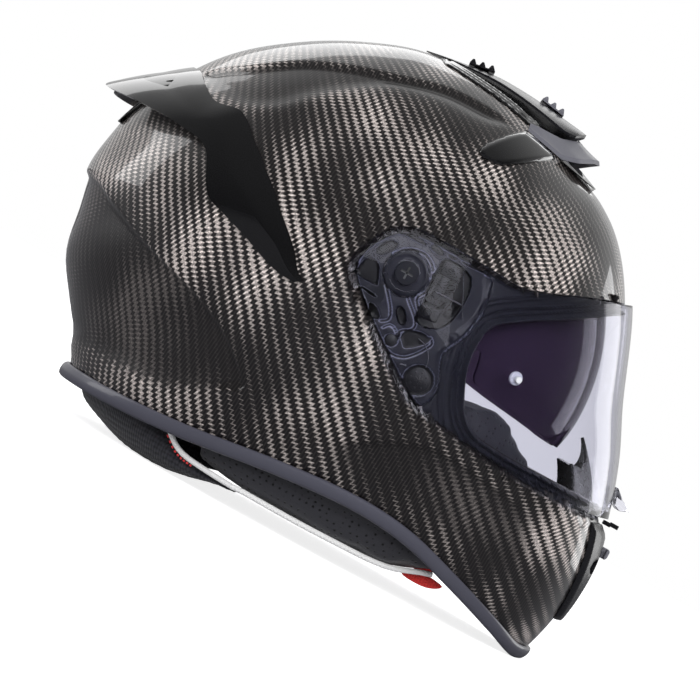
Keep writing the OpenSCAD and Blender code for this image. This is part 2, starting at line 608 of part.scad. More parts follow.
module brow_fin(side) on_side(side) meshed() difference() {
    patch(fin_outline, 0.3, 2.2);
    translate([-wide / 2, -wide, 0]) cube([wide, wide, wide]);
}
module brow_fin_right() color("#0d0d0f") brow_fin(-1);
module brow_fin_left() color("#0d0d0f") brow_fin(1);

// Front view of the chin vent, as [side, height]
chin_front = [[0, 26], [15, 26.5], [20, 32], [28, 43], [35, 58], [43, 76], [43, 80], [0, 80]];
module chin_vent_body() color("#17171a") meshed() difference() {
    intersection() {
        egg(4.4);
        translate([120, 0, 0]) rotate([90, 0, 90]) linear_extrude(80)
            polygon(concat(chin_front, [for (i = [len(chin_front) - 1:-1:0])
                [-chin_front[i][0], chin_front[i][1]]]));
    }
    egg(0.4);
    for (s = [-1, 1]) translate([150, 17 * s, 61]) cube([60, 18, 8], center = true);
    translate([150, 0, 68]) cube([60, 4.6, 13], center = true);
}
module chin_vent_slider() color("#1c1c20") {
    translate([162.6, -2, 64.5]) cube([4.4, 4, 5.6]);
    hull() {
        translate([166.8, -7, 64.5]) cube([1, 14, 5.6]);
        translate([168, -6, 66]) cube([0.6, 12, 3]);
    }
}
module chin_vent_mesh() color("#3a3a3e") for (s = [-1, 1]) translate([156.6, 17 * s, 61])
    rotate([0, 0, -9 * s]) difference() {
        cube([1, 14, 7], center = true);
        for (i = [-2:2], j = [-1:1]) translate([0, 2.6 * i, 2.2 * j]) cube([4, 1.6, 1.4], center = true);
    }
module visor_catch() color("#1a1a1d") {
    translate([158.4, -4, 80.2]) cube([4, 8, 2.2]);
    translate([162, -2.5, 80.8]) cube([4.6, 5, 2.2]);
}

// Rear spoiler and its side blades, from the middle to the lower tip:
// [front angle, front reach, rear angle, rear reach, lift of the rear edge]
spoiler_line = [[161, 0, 169.5, 0, 13], [161, 9, 171.5, 8, 17], [160.8, 17, 174, 14, 22],
    [162, 26, 173, 28, 13], [163, 34.5, 172.4, 37, 7.5], [160.3, 42, 173.5, 46, 3.4],
    [163.4, 51, 183.8, 53.5, 1.6], [169, 60, 187, 58, 1.4], [176.5, 66.5, 191.5, 63, 1.4],
    [188.6, 72, 199, 68, 1.4], [209.5, 75.2, 210, 73.6, 1.3]];
function spoiler_ring(s, side) = let (low = max(0.6, s[4] - 2.4), high = max(low + 0.8, s[4])) [
    skin(s[0], s[1] * side, 0.6), skin((s[0] + s[2]) / 2, (s[1] + s[3]) / 2 * side, 1 + low * 0.25),
    skin(s[2], s[3] * side, low), skin(s[2], s[3] * side, high),
    skin((s[0] + s[2]) / 2, (s[1] + s[3]) / 2 * side, 2 + 0.35 * s[4]), skin(s[0], s[1] * side, 1.5)];
module rear_spoiler() color("#0c0c0e") loft(concat(
    [for (i = [len(spoiler_line) - 1:-1:1]) spoiler_ring(spoiler_line[i], -1)],
    [for (i = [0:len(spoiler_line) - 1]) spoiler_ring(spoiler_line[i], 1)]), turned = true);

grille_outline = [[-147, 158.5], [-155, 141], [-160, 141], [-160, 165]];
module rear_exhaust_grille() color("#101012") meshed() difference() {
    patch(grille_outline, 0.3, 2.4);
    for (i = [-3:3]) translate([-155, 7 * i, 149.5]) cube([40, 3.4, 9], center = true);
}

// Chin strap: hangs from its anchor over the cheek pad and down its inner face
strap_x = 0;
strap_y = 52;
short_end = 44;
long_end = 24;
anchor_y = 88;
rivet_x = strap_x + strap_w / 2;
rivet_z = 110;
rivet_r = 2.2;
function strap_path(end) = [[anchor_y, 106], [anchor_y, 101], [strap_y, 98], [strap_y, end],
    [strap_y - strap_t, end], [strap_y - strap_t, 99.6], [anchor_y - strap_t, 102.6],
    [anchor_y - strap_t, 106]];
module strap_band(end) translate([strap_x, 0, 0]) rotate([90, 0, 90]) linear_extrude(strap_w)
    polygon(strap_path(end));
module along(y, z, r, a, b) translate([a, y, z]) rotate([0, 90, 0]) cylinder(r = r, h = b - a, $fn = 48);

bar_y = strap_y - strap_t / 2;
loop_a = short_end - 3;
loop_b = loop_a - 8;
module chin_strap_short() color("#1b1b1d") mirror([0, 1, 0]) difference() {
    union() {
        strap_band(loop_b);
        along(bar_y, loop_a, bar_r + 1.6, strap_x, strap_x + strap_w);
        along(bar_y, loop_b, bar_r + 1.6, strap_x + 1, strap_x + strap_w - 1);
    }
    along(bar_y, loop_a, bar_r + fit, -20, 60);
    along(bar_y, loop_b, bar_r + fit, -20, 60);
    translate([-20, 40, loop_b - 20]) cube([80, 20, 20 - bar_r - 1.2]);
}
module chin_strap_long() color("#1b1b1d") strap_band(long_end);

// D-ring: a straight bar closed by a bow that hangs below it
module d_ring(z, half, low) {
    x = strap_x + strap_w / 2;
    along(-bar_y, z, bar_r, x - half, x + half);
    for (s = [-1, 1]) {
        translate([x + s * half, -bar_y, z - low]) cylinder(r = bar_r, h = low, $fn = 48);
        translate([x + s * half, -bar_y, z]) sphere(r = bar_r, $fn = 48);
        translate([x + s * half, -bar_y, z - low]) sphere(r = bar_r, $fn = 48);
    }
    along(-bar_y, z - low, bar_r, x - half, x + half);
}
module d_ring_large() color("#c4c6cc") d_ring(loop_a, strap_w / 2 + 7.5, 29);
module d_ring_small() color("#c4c6cc") d_ring(loop_b, strap_w / 2 + 2.4, 11);

module strap_anchors() color("#b0b2b8") for (s = [-1, 1]) on_side(s) {
    translate([strap_x - 2, anchor_y, 98]) cube([strap_w + 4, 1.6, 16]);
    across(rivet_x, rivet_z, rivet_r, anchor_y + 1, half_w - shell_t - 5.4, 32);
    across(rivet_x, rivet_z, rivet_r + 1.6, anchor_y - 1.2, anchor_y + 0.6, 32);
}

outer_shell();
edge_trim();
eyeport_gasket();
impact_liner();
chin_liner();
crown_pad();
cheek_pad_right();
cheek_pad_left();
neck_roll();
piping();
pull_tabs();
chin_curtain();
breath_deflector();
visor();
visor_tab();
visor_boss_right();
visor_boss_left();
lens_pins();
pivot_plate_right();
pivot_plate_left();
pivot_stud_right();
pivot_stud_left();
release_lever_right();
release_lever_left();
lever_pins();
lever_springs();
plate_screws();
sun_visor();
sun_visor_bushes();
sun_visor_pins();
sun_slider_base();
sun_slider_knob();
sun_visor_cable();
crown_vent_base();
crown_vent_cover();
crown_slider_front();
crown_slider_rear();
scoop_plate();
scoop_vanes();
brow_fin_right();
brow_fin_left();
chin_vent_body();
chin_vent_slider();
chin_vent_mesh();
visor_catch();
rear_spoiler();
rear_exhaust_grille();
strap_anchors();
chin_strap_short();
chin_strap_long();
d_ring_large();
d_ring_small();
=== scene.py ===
"""Looks of a full face motorcycle helmet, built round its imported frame.

+X is straight ahead, +Y the wearer's left and +Z up. Sizes are in millimetres until a piece is placed.
"""

import json
import logging
import math
from dataclasses import dataclass
from enum import Enum
from typing import Callable, Sequence

import bmesh
import bpy
import numpy as np
from mathutils import Matrix, Vector

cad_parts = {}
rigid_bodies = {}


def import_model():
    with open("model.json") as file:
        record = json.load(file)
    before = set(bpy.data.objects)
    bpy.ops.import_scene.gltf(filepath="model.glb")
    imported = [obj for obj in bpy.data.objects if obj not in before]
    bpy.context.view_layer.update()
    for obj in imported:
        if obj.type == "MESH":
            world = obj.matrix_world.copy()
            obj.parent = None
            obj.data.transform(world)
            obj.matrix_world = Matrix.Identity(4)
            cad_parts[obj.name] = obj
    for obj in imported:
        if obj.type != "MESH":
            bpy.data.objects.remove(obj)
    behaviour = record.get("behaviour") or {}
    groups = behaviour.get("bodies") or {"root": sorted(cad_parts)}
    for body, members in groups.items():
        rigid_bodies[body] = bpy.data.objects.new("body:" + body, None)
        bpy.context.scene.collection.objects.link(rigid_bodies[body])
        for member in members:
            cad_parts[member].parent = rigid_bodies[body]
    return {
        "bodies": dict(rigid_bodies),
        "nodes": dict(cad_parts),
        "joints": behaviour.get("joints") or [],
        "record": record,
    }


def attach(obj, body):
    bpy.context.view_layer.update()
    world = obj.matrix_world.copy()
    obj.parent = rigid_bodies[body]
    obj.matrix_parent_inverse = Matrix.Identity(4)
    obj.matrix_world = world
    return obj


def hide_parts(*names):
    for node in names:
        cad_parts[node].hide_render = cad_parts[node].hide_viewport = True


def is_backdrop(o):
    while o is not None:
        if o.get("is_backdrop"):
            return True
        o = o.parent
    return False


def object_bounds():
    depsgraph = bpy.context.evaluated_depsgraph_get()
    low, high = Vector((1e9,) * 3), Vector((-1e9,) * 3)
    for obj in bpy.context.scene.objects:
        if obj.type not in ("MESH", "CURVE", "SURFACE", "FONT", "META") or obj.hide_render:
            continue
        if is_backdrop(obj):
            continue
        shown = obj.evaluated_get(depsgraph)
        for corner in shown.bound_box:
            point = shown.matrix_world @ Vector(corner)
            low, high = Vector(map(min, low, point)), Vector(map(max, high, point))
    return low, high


LOG = logging.getLogger("helmet")
MM = 0.001
# Steps of a search by halves, which leave far less than a micrometre, and points measured at a time
HALVINGS = 24
BATCH = 20000
Spots = Row = np.ndarray
Field = Callable[[Spots], Row]
Table = Sequence[Sequence[float]]
Mesh, Piece = bmesh.types.BMesh, bpy.types.Object
Tree, Node, Socket = bpy.types.NodeTree, bpy.types.Node, bpy.types.NodeSocket


# --- The shell's formula, shared by everything that lies on it ---

def cubic(s: Row | float, start: Row, lean_start: Row, end: Row, lean_end: Row) -> Row:
    """Smooth cubic from start to end at share s of the way, with its lean at both."""
    return ((1 + 2 * s) * (1 - s) ** 2 * start + s * (1 - s) ** 2 * lean_start + s * s * (3 - 2 * s) * end
            + s * s * (s - 1) * lean_end)


def hermite(table: Table, at: Row) -> Row:
    """Read a table of [place, value] pairs along its smooth cubic line.

    Args:
        table: Pairs in order of place.
        at: Places to read.

    Returns:
        The value at each place.
    """
    xs, ys = np.asarray(table, float).T
    last = len(xs) - 1
    before, after = np.maximum(np.arange(last + 1) - 1, 0), np.minimum(np.arange(last + 1) + 1, last)
    lean = (ys[after] - ys[before]) / (xs[after] - xs[before])
    i = np.clip(np.searchsorted(xs, at, side="right") - 1, 0, last - 1)
    h = xs[i + 1] - xs[i]
    return cubic((at - xs[i]) / h, ys[i], h * lean[i], ys[i + 1], h * lean[i + 1])


@dataclass
class Skin:
    """Outer skin of the shell: a side profile about the ear axis, rounded out to the ears."""

    ear_x: float = 5.0
    ear_z: float = 135.0
    half: float = 127.0
    profile: tuple = (
        (-60, 222), (-45, 203), (-35, 189), (-25, 173), (-18, 159), (-10, 145.5), (0, 131.5), (10, 124.5),
        (24, 120.7), (40, 118.3), (50, 115.5), (60, 111), (70, 112.5), (80, 114), (92, 114.5), (104, 117),
        (112, 120), (125, 124), (140, 132), (155, 143.5), (170, 154), (180, 161.5), (187, 165), (195, 165.5),
        (203, 168.5), (212, 166), (222, 167), (235, 187), (255, 217), (278, 230)
    )
    hub_x: float = 10.0
    strips: int = 24

    def radius(self, a: Row) -> Row:
        """Reach of the middle profile at angle a in degrees, up from straight ahead."""
        first, second, last = self.profile[0], self.profile[1], self.profile[-1]
        ring = [(last[0] - 360, last[1]), *self.profile, (first[0] + 360, first[1]), (second[0] + 360, second[1])]
        return hermite(ring, (np.asarray(a, float) + 60) % 360 - 60)

    def point(self, a: Row, t: Row, off: Row | float = 0.0) -> Spots:
        """Points at angle a about the ear axis and angle t out of the middle, off outwards."""
        reach = (self.radius(a) + off) * np.cos(np.radians(t))
        return np.stack([self.ear_x + reach * np.cos(np.radians(a)), (self.half + off) * np.sin(np.radians(t)),
                         self.ear_z + reach * np.sin(np.radians(a))], axis=-1)

    def ratio(self, x: Row, y: Row, z: Row, off: float) -> Row:
        """Square of how far points lie out: 1 on the skin, less inside it."""
        dx, dz = x - self.ear_x, z - self.ear_z
        reach = self.radius(np.degrees(np.arctan2(dz, dx))) + off
        return (dx ** 2 + dz ** 2) / reach ** 2 + (y / (self.half + off)) ** 2

    def side_y(self, x: Row, z: Row, off: float = 0.0) -> Row:
        """Side distance of the skin over points of the side view."""
        x, z = np.asarray(x, float), np.asarray(z, float)
        inner = 1 - self.ratio(x, np.zeros_like(x), z, off)
        return (self.half + off) * np.sqrt(np.maximum(0.0, inner))

    def wall(self, phi: Row, line: Sequence, h: Row | float, off: Row | float) -> Spots:
        """Points of the skin at plan angles, on a line of heights.

        Args:
            phi: Plan angles in degrees from straight ahead.
            line: Table of the line's height over its place fore and aft.
            h: Height above the line.
            off: Distance outwards from the skin.

        Returns:
            The points.
        """
        phi = np.asarray(phi, float)
        cos, sin = np.cos(np.radians(phi)), np.sin(np.radians(phi))
        low, high = np.full_like(phi, 20.0), np.full_like(phi, 200.0)
        for _ in range(HALVINGS):
            mid = (low + high) / 2
            x = self.hub_x + mid * cos
            inner = self.ratio(x, mid * sin, hermite(line, x) + h, off) < 1
            low, high = np.where(inner, mid, low), np.where(inner, high, mid)
        x = self.hub_x + low * cos
        return np.stack([x, low * sin, hermite(line, x) + h], axis=-1)

    def unroll(self, a: Row, t: Row) -> Row:
        """Cloth places of points, the skin unrolled flat from the ear outwards.

        Args:
            a: Angles about the ear axis in degrees.
            t: Angles out of the middle in degrees.

        Returns:
            Places in millimetres.
        """
        reach, lean = self.radius(a), np.abs(t)
        run = np.zeros_like(reach)
        for k in range(self.strips):
            u = np.radians(90 - (90 - lean) * (k + 0.5) / self.strips)
            run += np.hypot(reach * np.sin(u), self.half * np.cos(u)) * np.radians(90 - lean) / self.strips
        return np.stack([run * np.cos(np.radians(a)), run * np.sin(np.radians(a))], axis=-1)


SKIN = Skin()


class Line:
    """Smooth line through points of the side view, broken at its corners."""

    def __init__(self, points: Table, closed: bool = False, corners: Sequence[int] = (), step: float = 1.5) -> None:
        """Lay the line.

        Args:
            points: Places as [fore and aft, height].
            closed: Whether the last point joins the first.
            corners: Indices of points where the line turns sharply.
            step: Distance between the samples of the line.
        """
        self.closed = closed
        pts = [np.asarray(p, float) for p in points]
        n = len(pts)
        spans = n if closed else n - 1
        sharp = set(corners)
        out = []
        for i in range(spans):
            b, c = pts[i], pts[(i + 1) % n]
            a = pts[i - 1] if (closed or i > 0) and i not in sharp else b - (c - b)
            d = pts[(i + 2) % n] if (closed or i + 2 < n) and (i + 1) % n not in sharp else c + (c - b)
            span = float(np.linalg.norm(c - b))
            before, after = max(float(np.linalg.norm(b - a)), 1e-3), max(float(np.linalg.norm(d - c)), 1e-3)
            lean_b = ((b - a) / before + (c - b) / span) / 2 * span
            lean_c = ((c - b) / span + (d - c) / after) / 2 * span
            shares = np.linspace(0, 1, max(2, round(span / step)) + 1)[:-1]
            out += [cubic(s, b, lean_b, c, lean_c) for s in shares]
        if not closed:
            out.append(pts[-1])
        self.dots = np.array(out)

    def nearest(self, x: Row, z: Row) -> tuple[Row, Row, Row]:
        """Measure points against the line.

        Args:
            x: Places fore and aft.
            z: Heights.

        Returns:
            Distance to the line, place along it from 0 to 1, and side of it (1 is left of its run).
        """
        a = self.dots
        b = np.roll(a, -1, axis=0) if self.closed else a[1:]
        a = a if self.closed else a[:-1]
        run = b - a
        size = np.maximum((run ** 2).sum(1), 1e-9)
        gap, place, side = (np.empty(len(x)) for _ in range(3))
        for lo in range(0, len(x), BATCH):
            part = slice(lo, lo + BATCH)
            px, pz = x[part, None], z[part, None]
            s = np.clip(((px - a[:, 0]) * run[:, 0] + (pz - a[:, 1]) * run[:, 1]) / size, 0, 1)
            dx, dz = px - a[:, 0] - s * run[:, 0], pz - a[:, 1] - s * run[:, 1]
            far = dx ** 2 + dz ** 2
            k = far.argmin(1)
            row = np.arange(len(k))
            gap[part] = np.sqrt(far[row, k])
            place[part] = (k + s[row, k]) / len(a)
            side[part] = np.sign(run[k, 0] * dz[row, k] - run[k, 1] * dx[row, k])
        return gap, place, side

    def holds(self, x: Row, z: Row) -> Row:
        """Tell whether points lie inside the closed line.

        Args:
            x: Places fore and aft.
            z: Heights.

        Returns:
            True for each point inside.
        """
        a, b = self.dots, np.roll(self.dots, -1, axis=0)
        odd = np.zeros(len(x), bool)
        for (ax, az), (bx, bz) in zip(a, b):
            if az != bz:
                hit = (az > z) != (bz > z)
                odd ^= hit & (x < (bx - ax) * (z - az) / (bz - az) + ax)
        return odd

    def within(self, spots: Spots) -> Row:
        """Signed distance in the side view, positive inside the closed line."""
        gap, _, _ = self.nearest(spots[:, 0], spots[:, 2])
        return np.where(self.holds(spots[:, 0], spots[:, 2]), gap, -gap)


def ease(low: float, high: float, at: Row) -> Row:
    """Smooth step from 0 at low to 1 at high."""
    s = np.clip((at - low) / (high - low), 0, 1)
    return s * s * (3 - 2 * s)


class Hide:
    """Flat sheet of angles that becomes a patch of a skin."""

    girth_mm = 880
    span_mm = 436
    tip_deg = 88
    feel_mm = 0.2

    def __init__(self, angles: tuple[float, float] = (-180, 180), spans: tuple[float, float] = (-90, 90),
                 cell: float = 3.0, skin: Skin = SKIN) -> None:
        """Lay the sheet.

        Args:
            angles: Range about the ear axis in degrees.
            spans: Range out of the middle in degrees.
            cell: Size of a cell in millimetres at the middle.
            skin: The skin that it follows.
        """
        self.cell, self.skin = cell, skin
        self.bm = bmesh.new()
        cols = max(2, round((angles[1] - angles[0]) / 360 * self.girth_mm / cell))
        rows = max(2, round((spans[1] - spans[0]) / 180 * self.span_mm / cell))
        self.lay(cols, rows, angles, spans)

    def lay(self, cols: int, rows: int, across: tuple[float, float], up: tuple[float, float]) -> None:
        """Lay the flat grid over two ranges."""
        bmesh.ops.create_grid(self.bm, x_segments=cols, y_segments=rows, size=0.5)
        bmesh.ops.scale(self.bm, verts=self.bm.verts, vec=(across[1] - across[0], up[1] - up[0], 1))
        middle = ((across[0] + across[1]) / 2, (up[0] + up[1]) / 2, 0)
        bmesh.ops.translate(self.bm, verts=self.bm.verts, vec=middle)

    def spot(self, a: Row, t: Row, off: Row | float = 0.0) -> Spots:
        """Points of the skin at flat places."""
        return self.skin.point(a, t, off)

    def scale(self, a: Row, t: Row) -> tuple[Row, Row]:
        """Millimetres for each unit of the flat places."""
        run = self.skin.radius(a)
        return np.radians(np.maximum(run * np.cos(np.radians(t)), 5)), np.radians(run)

    def free(self, a: Row, t: Row) -> Row:
        """Places that may move."""
        return np.abs(t) < self.tip_deg

    def cloth(self, a: Row, t: Row) -> Row:
        """Places in millimetres on the skin laid flat."""
        return self.skin.unroll(a, t)

    def places(self) -> tuple[Row, Row]:
        """Flat places of every vertex."""
        flat = np.array([v.co[:2] for v in self.bm.verts], float).reshape(-1, 2)
        return flat[:, 0], flat[:, 1]

    def split_near(self, edge: Field, width: float, times: int = 1) -> None:
        """Halve the cells that lie near a field's edge.

        Args:
            edge: The field, nought on its edge.
            width: How near they lie in millimetres.
            times: How often they are halved.
        """
        for _ in range(times):
            near = np.abs(edge(self.spot(*self.places()))) < width
            self.bm.verts.ensure_lookup_table()
            self.bm.verts.index_update()
            faces = [f for f in self.bm.faces if any(near[v.index] for v in f.verts)]
            edges = list({e for f in faces for e in f.edges})
            bmesh.ops.subdivide_edges(self.bm, edges=edges, cuts=1, use_grid_fill=True)

    def settle(self, edge: Field, reach: float, only: Sequence[bmesh.types.BMVert] | None = None) -> None:
        """Move the vertices near a field's edge onto it.

        Args:
            edge: The field, nought on its edge.
            reach: How near they lie in millimetres.
            only: The vertices that may move, or none for all.
        """
        verts = list(only) if only is not None else list(self.bm.verts)
        if not verts:
            return
        flat = np.array([v.co[:2] for v in verts], float)
        a, t = flat[:, 0], flat[:, 1]
        d = edge(self.spot(a, t))
        pick = (np.abs(d) < reach) & self.free(a, t)
        a, t, d = a[pick], t[pick], d[pick]
        for _ in range(4):
            run_a, run_t = self.scale(a, t)
            ga = (edge(self.spot(a + self.feel_mm / run_a, t)) - d) / self.feel_mm
            gt = (edge(self.spot(a, t + self.feel_mm / run_t)) - d) / self.feel_mm
            push = np.clip(-d / np.maximum(ga ** 2 + gt ** 2, 0.05), -self.cell, self.cell)
            a, t = a + push * ga / run_a, t + push * gt / run_t
            d = edge(self.spot(a, t))
        for v, na, nt in zip((v for v, p in zip(verts, pick) if p), a, t):
            v.co.x, v.co.y = na, nt

    def trim(self, edge: Field) -> None:
        """Cut away where a field is positive, and lay the new edge onto its line.

        Args:
            edge: The field, nought on its edge.
        """
        centres = np.array([f.calc_center_median()[:2] for f in self.bm.faces], float)
        out = edge(self.spot(centres[:, 0], centres[:, 1])) > 0
        doomed = [f for f, o in zip(self.bm.faces, out) if o]
        before = {v for f in doomed for v in f.verts}
        bmesh.ops.delete(self.bm, geom=doomed, context="FACES")
        rim = [v for v in before if v.is_valid and any(len(e.link_faces) < 2 for e in v.link_edges)]
        self.settle(edge, self.cell * 2.5, rim)

    def keep(self, inner: Field) -> None:
        """Cut away where a field is negative."""
        self.trim(lambda spots: -inner(spots))

    def bore(self, x: float, z: float, radius: float) -> None:
        """Cut a hole that is round in the side view."""
        self.trim(lambda spots: radius - np.hypot(spots[:, 0] - x, spots[:, 2] - z))

    def raise_to(self, off: Callable[[Spots], Row] | float, weld: float = 0.02) -> Mesh:
        """Turn the sheet into the skin, off outwards, with its cloth places as a UV map.

        Args:
            off: Offset, or a function that gives it for points of the plain skin.
            weld: Distance under which vertices are joined.

        Returns:
            The mesh, its faces pointing outwards.
        """
        a, t = self.places()
        lift = off(self.spot(a, t)) if callable(off) else off
        spots, cloth = self.spot(a, t, lift), self.cloth(a, t)
        layer = self.bm.loops.layers.uv.new("Cloth")
        self.bm.verts.index_update()
        for f in self.bm.faces:
            for loop in f.loops:
                loop[layer].uv = cloth[loop.vert.index]
        sunk = self.bm.verts.layers.float.new("sunk")
        for v, p, rise in zip(self.bm.verts, spots, np.broadcast_to(lift, a.shape)):
            v.co = p
            v[sunk] = -rise
        bmesh.ops.remove_doubles(self.bm, verts=self.bm.verts, dist=weld)
        self.bm.normal_update()
        hub = Vector((self.skin.ear_x, 0, self.skin.ear_z))
        if sum(f.normal.dot(f.calc_center_median() - hub) * f.calc_area() for f in self.bm.faces) < 0:
            bmesh.ops.reverse_faces(self.bm, faces=self.bm.faces)
        return self.bm


class Flank(Hide):
    """Patch of the right side laid out in the side view, for fine mouldings near the ear."""

    def __init__(self, across: tuple[float, float], up: tuple[float, float], cell: float = 0.7) -> None:
        """Lay the sheet over a box of the side view."""
        self.cell, self.skin = cell, SKIN
        self.bm = bmesh.new()
        self.lay(round((across[1] - across[0]) / cell), round((up[1] - up[0]) / cell), across, up)

    def spot(self, a: Row, t: Row, off: Row | float = 0.0) -> Spots:
        """Points of the right side at places of the side view."""
        return np.stack([a, -self.skin.side_y(a, t, off), t], axis=-1)

    def scale(self, a: Row, t: Row) -> tuple[Row, Row]:
        """One millimetre for each unit."""
        return np.ones_like(a), np.ones_like(a)

    def free(self, a: Row, t: Row) -> Row:
        """Every place may move."""
        return np.ones_like(a, bool)

    def cloth(self, a: Row, t: Row) -> Row:
        """The side view itself."""
        return np.stack([a, t], axis=-1)


def sheet(cols: int, rows: int, spot: Callable[[Row, Row], Spots],
          wrap: bool = True, tile: tuple[float, float] | None = None) -> Mesh:
    """Grid whose points go where spot sends their two places from 0 to 1.

    Args:
        cols: Cells along the first place.
        rows: Cells along the second place.
        spot: Gives the points for arrays of the two places.
        wrap: Whether meeting edges are welded and the normals recalculated.
        tile: Real size of the sheet, for a UV map in millimetres.

    Returns:
        The mesh.
    """
    bm = bmesh.new()
    bmesh.ops.create_grid(bm, x_segments=cols, y_segments=rows, size=0.5)
    flat = np.array([v.co[:2] for v in bm.verts], float) + 0.5
    if tile:
        layer = bm.loops.layers.uv.new("Cloth")
        for f in bm.faces:
            for loop in f.loops:
                u, v = flat[loop.vert.index]
                loop[layer].uv = (u * tile[0], v * tile[1])
    for v, p in zip(bm.verts, spot(flat[:, 0], flat[:, 1])):
        v.co = p
    if wrap:
        bmesh.ops.remove_doubles(bm, verts=bm.verts, dist=0.01)
        close_ends(bm)
        bmesh.ops.recalc_face_normals(bm, faces=bm.faces)
    return bm


def close_ends(bm: Mesh) -> None:
    """Fill the open rings of a mesh with fans."""
    rims = [e for e in bm.edges if len(e.link_faces) == 1]
    if rims:
        made = bmesh.ops.holes_fill(bm, edges=rims, sides=0)
        bmesh.ops.triangulate(bm, faces=made["faces"])


def read_rows(rows: Row, places: Row, at: Row) -> Row:
    """Rows of a table that stand at given places, read along a smooth line."""
    return np.stack([hermite(np.stack([places, column], axis=1), at) for column in rows.T], axis=-1)


def along(table: Table, at: Row) -> Row:
    """Rows of an open table, evenly spaced from 0 to 1, read along a smooth line."""
    rows = np.asarray(table, float)
    return read_rows(rows, np.linspace(0, 1, len(rows)), at)


def round_about(table: Table, at: Row) -> Row:
    """Rows of a closed table, evenly spaced from 0 to 1, read along a smooth line."""
    rows = np.asarray(table, float)
    return read_rows(np.concatenate([rows[-2:], rows, rows[:3]]), np.arange(-2, len(rows) + 3) / len(rows), at)


def tube(path: Spots, radius: float | Row, sides: int = 10) -> Mesh:
    """Make a round cord.

    Args:
        path: Points of its middle line.
        radius: Its radius, or one for each point.
        sides: Faces round it.

    Returns:
        The mesh, with its cloth places along and round the cord.
    """
    path = np.asarray(path, float)
    run = np.gradient(path, axis=0)
    run /= np.linalg.norm(run, axis=1)[:, None]
    across = np.cross(run, [0.03, 0.1, 1.0])
    across /= np.linalg.norm(across, axis=1)[:, None]
    up = np.cross(run, across)
    length = np.linalg.norm(np.diff(path, axis=0), axis=1).sum()
    size = np.broadcast_to(radius, (len(path),))

    def spot(u: Row, v: Row) -> Spots:
        """Point of the cord at place u along it and v round it."""
        i = np.rint(u * (len(path) - 1)).astype(int)
        turn = 2 * np.pi * v
        return path[i] + size[i, None] * (np.cos(turn)[:, None] * across[i] + np.sin(turn)[:, None] * up[i])

    return sheet(len(path) - 1, sides, spot, tile=(float(length), 2 * math.pi * float(size.mean())))


def side_tube(dots: Row, side: int, off: Row | float, radius: float, sides: int = 8) -> Mesh:
    """Round cord over places of the side view, off outwards from the skin of one side."""
    y = side * SKIN.side_y(dots[:, 0], dots[:, 1], off)
    return tube(np.stack([dots[:, 0], y, dots[:, 1]], axis=1), radius, sides)


def join(parts: Sequence[Mesh]) -> Mesh:
    """Put several meshes into the first one.

    Args:
        parts: The meshes, of which the others are used up.

    Returns:
        The first mesh.
    """
    base = parts[0]
    for part in parts[1:]:
        spare = bpy.data.meshes.new("spare")
        part.to_mesh(spare)
        part.free()
        base.from_mesh(spare)
        bpy.data.meshes.remove(spare)
    return base


def mirrored(bm: Mesh) -> Mesh:
    """Copy of a mesh on the other side of the middle."""
    copy = bm.copy()
    bmesh.ops.scale(copy, verts=copy.verts, vec=(1, -1, 1))
    bmesh.ops.reverse_faces(copy, faces=copy.faces)
    return copy


def soften(bm: Mesh, edge: float, segments: int = 2) -> Mesh:
    """Round every edge of a mesh."""
    bmesh.ops.bevel(bm, geom=bm.edges[:], offset=edge, segments=segments, profile=0.5, affect="EDGES", material=-1)
    return bm


def disc(centre: Sequence[float], radius: float, deep: float, face: Sequence[float] = (0, -1, 0), sides: int = 40,
         edge: float = 0.3, bore: float = 0.0) -> Mesh:
    """Turn a round boss with rounded edges.

    Args:
        centre: Middle of its foot.
        radius: Its radius.
        deep: How far it stands out.
        face: Way that it faces.
        sides: Faces round it.
        edge: Radius of its edges.
        bore: Radius of the hole through it, if any.

    Returns:
        The mesh.
    """
    bm = bmesh.new()
    lead = min(edge, radius * 0.4, deep * 0.45)
    outer = [(bore, 0), (radius, 0), (radius, deep - lead), (radius - lead * 0.3, deep - lead * 0.3),
             (radius - lead, deep), (bore + (lead if bore else 0), deep)]
    if bore:
        outer += [(bore, deep - lead), (bore, 0)]
    verts = [bm.verts.new((r, 0, z)) for r, z in outer]
    edges = [bm.edges.new(pair) for pair in zip(verts, verts[1:])]
    bmesh.ops.spin(bm, geom=verts + edges, cent=(0, 0, 0), axis=(0, 0, 1), angle=2 * math.pi, steps=sides,
                   use_merge=True)
    bmesh.ops.remove_doubles(bm, verts=bm.verts, dist=0.001)
    bmesh.ops.recalc_face_normals(bm, faces=bm.faces)
    turn = Vector((0, 0, 1)).rotation_difference(Vector(face)).to_matrix().to_4x4()
    bmesh.ops.transform(bm, matrix=Matrix.Translation(centre) @ turn, verts=bm.verts)
    return bm


def block(low: Sequence[float], high: Sequence[float], edge: float = 0.4, turn: Matrix | None = None) -> Mesh:
    """Make a box with rounded edges.

    Args:
        low: Its lowest corner.
        high: Its highest corner.
        edge: Radius of its edges.
        turn: Turn about its own middle, if any.

    Returns:
        The mesh.
    """
    bm = bmesh.new()
    bmesh.ops.create_cube(bm, size=1)
    size = [h - l for l, h in zip(low, high)]
    centre = [(h + l) / 2 for l, h in zip(low, high)]
    bmesh.ops.scale(bm, verts=bm.verts, vec=size)
    soften(bm, min(edge, min(size) * 0.35))
    bmesh.ops.transform(bm, matrix=Matrix.Translation(centre) @ (turn or Matrix()), verts=bm.verts)
    return bm


